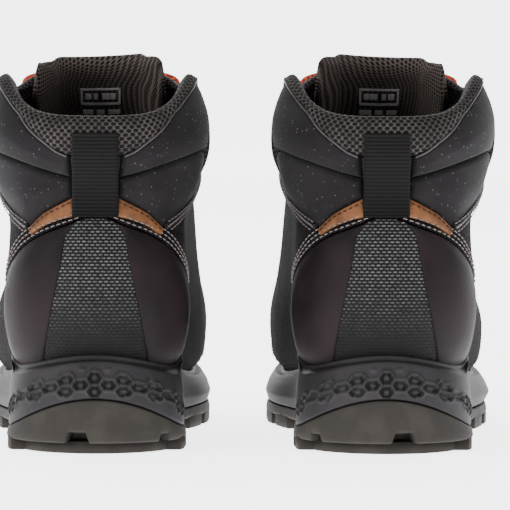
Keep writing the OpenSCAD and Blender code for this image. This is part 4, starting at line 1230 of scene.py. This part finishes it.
class BOOTS_OT_stage(bpy.types.Operator):
    """Makes the pale floor, the soft studio light and the camera behind the heels."""
    bl_idname = "boots.stage"
    bl_label = "Stage"

    def execute(self, context):
        half = sizes().floor_size / 2
        mesh = bpy.data.meshes.new("studio_floor")
        bend, back, high = 2.2, half, 3.2
        profile = [(-half, 0.0), (half - bend, 0.0)]
        profile += [(half - bend + bend * np.sin(a), bend * (1 - np.cos(a)))
                    for a in np.linspace(0.1, np.pi / 2, 16)]
        profile += [(back, high + bend)]
        verts = [(x, y, z) for y, z in profile for x in (-half, half)]
        faces = [(2 * k, 2 * k + 1, 2 * k + 3, 2 * k + 2) for k in range(len(profile) - 1)]
        mesh.from_pydata(verts, [], faces)
        for polygon in mesh.polygons:
            polygon.use_smooth = True
        floor = bpy.data.objects.new("studio_floor", mesh)
        context.scene.collection.objects.link(floor)
        # Seamless paper: matt, near white.
        mat, t = begin()
        paper = material(mat, "Seamless Paper", blended(t, noise(t, 400), rgba("eeeef0"),
                                                        rgba("f3f3f5")), 0.9,
                         **{"Emission Color": rgba("f2f2f4"), "Emission Strength": 3.8})
        mesh.materials.append(paper)

        world = bpy.data.worlds.new("studio")
        world.use_nodes = True
        world.node_tree.nodes["Background"].inputs[0].default_value = rgba("f4f5f8")
        world.node_tree.nodes["Background"].inputs[1].default_value = 0.6
        context.scene.world = world
        # Name, place, width in metres and power in watts of each round soft light.
        for name, place, size, power in (
                ("overhead", (0.1, 0.2, 2.4), 2.6, 40.0), ("left_soft", (-2.2, -1.5, 1.2), 1.6, 40.0),
                ("right_soft", (2.3, -1.2, 1.0), 1.2, 9.0), ("behind_soft", (-0.6, 2.4, 1.8), 2.0,
                                                             22.0)):
            light = bpy.data.lights.new(name, "AREA")
            light.shape, light.size, light.energy = "DISK", size, power
            lamp = bpy.data.objects.new(name, light)
            lamp.location = place
            aim = (Vector((0, 0, 0.08)) - Vector(place)).to_track_quat("-Z", "Y")
            lamp.rotation_euler = aim.to_euler()
            context.scene.collection.objects.link(lamp)

        data = bpy.data.cameras.new("camera")
        data.sensor_width, data.lens = 36.0, 339.5
        data.clip_end = 50
        camera = bpy.data.objects.new("camera", data)
        stand, target = Vector((-0.0138, -2.3525, 0.190)), Vector((0.0064, -0.1525, 0.0919))
        aim = (target - stand).to_track_quat("-Z", "Y")
        roll = Quaternion((0, 0, 1), np.radians(0.15))
        camera.rotation_mode = "QUATERNION"
        camera.rotation_quaternion = aim @ roll
        camera.location = stand
        context.scene.collection.objects.link(camera)
        context.scene.camera = camera
        return {"FINISHED"}


class BOOTS_OT_laces(bpy.types.Operator):
    """Makes the lace, its hooks, the tied bow, the free ends and their tips."""
    bl_idname = "boots.laces"
    bl_label = "Laces"

    def execute(self, context):
        r = LACE_D / 2

        def build(side_name):
            run = tube(along_path(LACE, 1.2), r)
            coil = [KNOT + [2.6 * t / 1.5 - 1.3, 3.0 * np.cos(2 * np.pi * t),
                            3.0 * np.sin(2 * np.pi * t)]
                    for t in np.linspace(-0.1, 1.6, 20)]
            knot = tube(along_path(coil, 0.8), r * 0.95)
            make("lace", side_name, joined(run, knot), "lace", ["lace"])
            for k, way in (("outer", 1), ("inner", -1)):
                loop = along_path(laid(LOOP, way), 1.2)
                bow = make(f"bow_loop_{k}", side_name, tube(loop, r), "lace", ["lace_bow"])
                end = along_path(laid(END, way), 1.2)
                tail = make(f"lace_end_{k}", side_name, tube(end, r), "lace", ["lace_bow"])
                way_on = unit(end[-1] - end[-3])
                tip = lathe([(0, -1.5), (2.15, -1.4), (2.2, 0), (1.9, 1.2), (1.75, 4), (1.6, 4.6),
                             (1.75, 5.2),
                             (1.75, AGLET_LEN - 5), (1.6, AGLET_LEN - 4.4), (1.75, AGLET_LEN - 3.8),
                             (1.7, AGLET_LEN - 1), (1.2, AGLET_LEN - 0.2), (0, AGLET_LEN)], end[-1],
                            way_on)
                aglet = make(f"aglet_{k}", side_name, tip, "acetate", ["aglets"])
            hooks = []
            for way in (1, -1):
                for v in HOOK_V:
                    u = way * hook_u(v)
                    hooks.append(lathe(HOOK_PROFILE, last(u, v, HOOK_BASE),
                                       last(u, v, 1) - last(u, v, 0)))
            make("lace_hooks", side_name, joined(*hooks), "metal", ["lace_hooks"])
        return each_boot(build)


class BOOTS_OT_sole(bpy.types.Operator):
    """Makes the outsole with its lugs and the midsole with its honeycomb."""
    bl_idname = "boots.sole"
    bl_label = "Sole"

    def execute(self, context):
        def build(side_name):
            make("outsole", side_name, joined(outsole_shape(), *lug_shapes()), "rubber",
                 ["outsole"])
            make("midsole", side_name, midsole_shape(), "foam", ["midsole"])
        return each_boot(build)


class BOOTS_OT_inside(bpy.types.Operator):
    """Makes the footbed and the mesh lining, and finishes the boards and stiffeners."""
    bl_idname = "boots.inside"
    bl_label = "Inside"

    def execute(self, context):
        def build(side_name):
            for node, key in (("shank", "nylon"), ("insole_board", "fibre"),
                              ("heel_stiffener", "board"),
                              ("toe_stiffener", "board")):
                paint(f"{side_name}_{node}", key)
            inset = INNER_WALL + GAP
            u = np.concatenate([[3.0], np.linspace(6, 174, 90), [177.0]])
            a, b = last(u, 0, -inset), last(-u, 0, -inset)
            z = skin(u, 0)[:, 2]
            share = spacing(30)
            rows = between(a, b, share)
            rows[..., 2] = z[:, None]
            d = border_distance(rows)
            cup = 1.6 * (1 - smooth(0, 14, d)) * smooth(140, 90, u)[:, None]
            cup = cup - 0.9 * (1 - smooth(0, 1.5, d))
            top, under = rows.copy(), rows.copy()
            top[..., 2] += BED_UNDER + BED_T - 1.0 + cup
            under[..., 2] += BED_UNDER
            bed = make("footbed", side_name, shell(top, under, rows[..., [1, 0]]), "footbed",
                       ["footbed"])
            make("lining", side_name, joined(lining_shaft(), lining_front()), "mesh",
                 ["lining"])
        return each_boot(build)


class BOOTS_OT_heel(bpy.types.Operator):
    """Makes the woven strip, the smooth leather and the tan accents of the heel."""
    bl_idname = "boots.heel"
    bl_label = "Heel"

    def execute(self, context):
        def build(side_name):
            edge = [[p[0] + 0.2, p[1]] for p in STRIP]
            rising = turned(edge) + [[4, 0.549]]
            strip = panel(rising, [[-p[0], p[1]] for p in rising], 0.1, edge=0.2, puff=0.4, step=1.0)
            make("heel_strip", side_name, strip, "ballistic", ["heel_strip"])
            for part, inner in PARTS.items():
                strip_edge = [[p[0] + 0.1, p[1]] for p in turned(STRIP)[:-1]] + [[10.2, 0.524]]
                leather = panel(turned(DOME), strip_edge, 0.5, puff=1.5, reach=6, edge=1.3,
                                inner_side=inner,
                                step=1.0, waves=(0.25, 24, 3))
                make(f"heel_leather_{part}", side_name, leather, "counter",
                     [f"heel_leather_{part}"])
                accent = panel(ACCENT_LOW, ACCENT_TOP, 1.0, puff=0.5, reach=3, edge=0.8,
                               inner_side=inner, step=0.7)
                make(f"accent_{part}", side_name, accent, "tan", [f"accent_{part}"])
                line = beside_line(turned(ACCENT_TOP), 1.7)
                if inner:
                    line = flip(line)
                sewn(side_name, f"accent_stitch_{part}", [(line, 1.35)], "dark_thread")
            top = [[-p[0], p[1]] for p in turned(DOME)[:-1]]
            top = top + [[-9.5, 0.536], [-4, 0.549], [4, 0.549]] + DOME
            top = top[2:-2]
            rows = [(beside_line(top, mm), 0.75) for mm in (1.5, 3.7, 5.9)]
            sewn(side_name, "heel_stitch", rows)
        return each_boot(build)


class BOOTS_OT_collar(bpy.types.Operator):
    """Makes the padded collar, the strip behind the heel tendon and the pull tab."""
    bl_idname = "boots.collar"
    bl_label = "Collar"

    def execute(self, context):
        puff = sizes().puff / MM

        def build(side_name):
            for part, inner in PARTS.items():
                low = panel(STRAP, lower(SEAM, STEP_V), 0.0, PADDED_UNDER, puff, 9, 2.4, True, inner,
                            waves=(0.35, 26, 11 + inner))
                pad = make(f"collar_lower_{part}", side_name, low, "softshell",
                           [f"collar_lower_{part}"])
                seam = lower(SEAM[:6], -STEP_V) + [[64, 0.80], [65, 0.68], [77, 0.702], [95, 0.742],
                                                   [112, 0.792],
                                                   [118, 0.822]]
                high = panel(seam, lower(MESH_EDGE, STEP_V), 0.0, PADDED_UNDER, puff * 0.9, 9, 2.2,
                             True, inner,
                             waves=(0.35, 26, 21 + inner))
                pad = make(f"collar_upper_{part}", side_name, high, "softshell",
                           [f"collar_upper_{part}"])
                edge = np.array(MESH_EDGE[:9])
                edge = line_points(edge, np.linspace(0.02, 0.9, 120))
                sign = -1 if inner else 1
                pipe = tube(last(sign * edge[:, 0], edge[:, 1] - 0.004, 0.35), 0.55, 8)
                make(f"collar_piping_{part}", side_name, pipe, "piping")
            stay = panel([[-9, 0.56], [-3, 0.563], [3, 0.563], [9, 0.56]],
                         [[u, 0.793] for u in (-9, -3, 3, 9)], 0, PADDED_UNDER, 0.3, padded=True)
            make("backstay", side_name, stay, "coated", ["backstay"])
            make("pull_tab", side_name, pull_tab_shape(), "webbing", ["pull_tab"])
        return each_boot(build)


class BOOTS_OT_upper(bpy.types.Operator):
    """Makes the toe bumper, the vamp, the quarters and the eyestays, and their stitching."""
    bl_idname = "boots.upper"
    bl_label = "Upper"

    def execute(self, context):
        def creases(u, v, d, place):
            """Folds across the ball, where the boot bends."""
            fold = np.sin(place[..., 1] * 0.75 + 1.5 * np.sin(u / 7))
            return 0.5 * fold * np.exp(-((v - 0.36) / 0.10) ** 2) * smooth(0, 8, d)

        def build(side_name):
            low = [[u, 0.004] for u in (114, 124, 136, 150, 165, 180)]
            bumper = panel(over_front(low), over_front(lower(CAP_TOP, STEP_V)), 0.4, puff=0.8, edge=1.2,
                           waves=(0.15, 14, 4))
            make("toe_bumper", side_name, bumper, "bumper", ["toe_bumper"])
            start = [[119, 0.041]] + CAP_TOP[1:]
            vamp = panel(over_front(lower(start, -STEP_V)), over_front(THROAT_LOW), 0, puff=0.8,
                         edge=0.8,
                         waves=(0.4, 22, 8), detail=creases)
            make("vamp", side_name, vamp, "nubuck", ["vamp"])
            rows = []
            for part, inner in PARTS.items():
                bottom = lower(DOME[:7], -2.5 * STEP_V) + [
                    [71.5, 0.004], [92, 0.004], [113, 0.004], [118, 0.065], [124, 0.135], [140, 0.285],
                    [156, 0.405], [169, 0.478]]
                top = lower(ACCENT_LOW, STEP_V) + lower(
                    [[36, 0.522], [43, 0.553], [51, 0.60], [60, 0.643], [76, 0.692], [95, 0.732],
                     [112, 0.782],
                     [118.8, 0.812], [119.2, 0.985], [140, 0.985], [161, 0.985]], 2 * STEP_V)
                quarter = panel(bottom, top, 0, puff=0.5, edge=0.7, inner_side=inner, step=1.6,
                                waves=(0.3, 24, 31 + inner))
                make(f"quarter_{part}", side_name, quarter, "ripstop",
                     [f"quarter_{part}"])
                outer_edge = [[p[0] - 12, p[1] - 0.01] for p in THROAT]
                stay = panel(THROAT, outer_edge, STAY_LIFT + STAY_T, STAY_LIFT, puff=0.3, edge=0.8,
                             inner_side=inner)
                strap_low = [[34.5, 0.507], [43, 0.545], [60, 0.634], [76, 0.684], [95, 0.722],
                             [118, 0.772],
                             [134, 0.80], [150.5, 0.81]]
                strap_top = [[33.5, 0.532], [42, 0.572], [59, 0.664], [75, 0.722], [94, 0.768],
                             [117, 0.825],
                             [133, 0.86], [149.5, 0.88]]
                strap = panel(strap_low, strap_top, STAY_T, 0.1, puff=0.7, reach=4, edge=1.0,
                              inner_side=inner,
                              detail=lambda u, v, d, place: strap_climb(u))
                make(f"eyestay_{part}", side_name, joined(stay, strap), "coated",
                     [f"eyestay_{part}"])
                lines = [(beside_line(strap_low, 1.8), STAY_T + 0.35),
                         (beside_line(strap_low, 3.9), STAY_T + 0.5),
                         (beside_line(strap_top, -1.8), STAY_T + 0.35),
                         (beside_line(strap_top, -3.9), STAY_T + 0.5)]
                lines = [(line, off + strap_climb(line_points(line, np.linspace(0, 1, 300))[:, 0]))
                         for line, off in lines] + [(beside_line(THROAT, 2.0),
                                                     STAY_LIFT + STAY_T + 0.1)]
                if inner:
                    lines = [(flip(line), off[::-1] if np.ndim(off) else off) for line, off in lines]
                rows += lines
            sewn(side_name, "strap_stitch", rows)
            cap = line_points(over_front(CAP_TOP), np.linspace(0.06, 0.94, 60))
            sewn(side_name, "toe_stitch", [(beside_line(cap, mm), 0.75) for mm in (2.2, 4.6)])
        return each_boot(build)


class BOOTS_OT_tongue(bpy.types.Operator):
    """Makes the padded tongue, its bound edges and its plain size label."""
    bl_idname = "boots.tongue"
    bl_label = "Tongue"

    def execute(self, context):
        def build(side_name):
            pad = make("tongue", side_name, tongue_shape(), "tongue", ["tongue"],
                       body="tongue")
            for part, inner in PARTS.items():
                make(f"tongue_binding_{part}", side_name, tongue_binding(inner), "binding",
                     body="tongue")
            make("tongue_label", side_name, label_shape(), "label", body="tongue")
        return each_boot(build)


class BOOTS_PT_panel(bpy.types.Panel):
    """Lists the groups of pieces."""
    bl_idname = "BOOTS_PT_panel"
    bl_label = "Hiking Boots"
    bl_space_type = "VIEW_3D"
    bl_region_type = "UI"
    bl_category = "Boots"

    def draw(self, context):
        for group in (context.scene.boot_tones, context.scene.boot_sizes):
            for key in group.__annotations__:
                self.layout.prop(group, key)
        for operator in OPERATORS:
            self.layout.operator(operator.bl_idname)


OPERATORS = (BOOTS_OT_stage, BOOTS_OT_laces, BOOTS_OT_sole, BOOTS_OT_inside, BOOTS_OT_heel,
             BOOTS_OT_collar,
             BOOTS_OT_upper, BOOTS_OT_tongue)
CLASSES = (BootTones, BootSizes, *OPERATORS, BOOTS_PT_panel)


def register():
    for cls in CLASSES:
        bpy.utils.register_class(cls)
    bpy.types.Scene.boot_tones = bpy.props.PointerProperty(type=BootTones)
    bpy.types.Scene.boot_sizes = bpy.props.PointerProperty(type=BootSizes)


def unregister():
    del bpy.types.Scene.boot_sizes
    del bpy.types.Scene.boot_tones
    for cls in reversed(CLASSES):
        bpy.utils.unregister_class(cls)


def main():
    register()
    make_materials(bpy.context.scene.boot_tones)
    for operator in OPERATORS:
        group, name = operator.bl_idname.split(".")
        getattr(getattr(bpy.ops, group), name)()


if __name__ == "__main__":
    main()
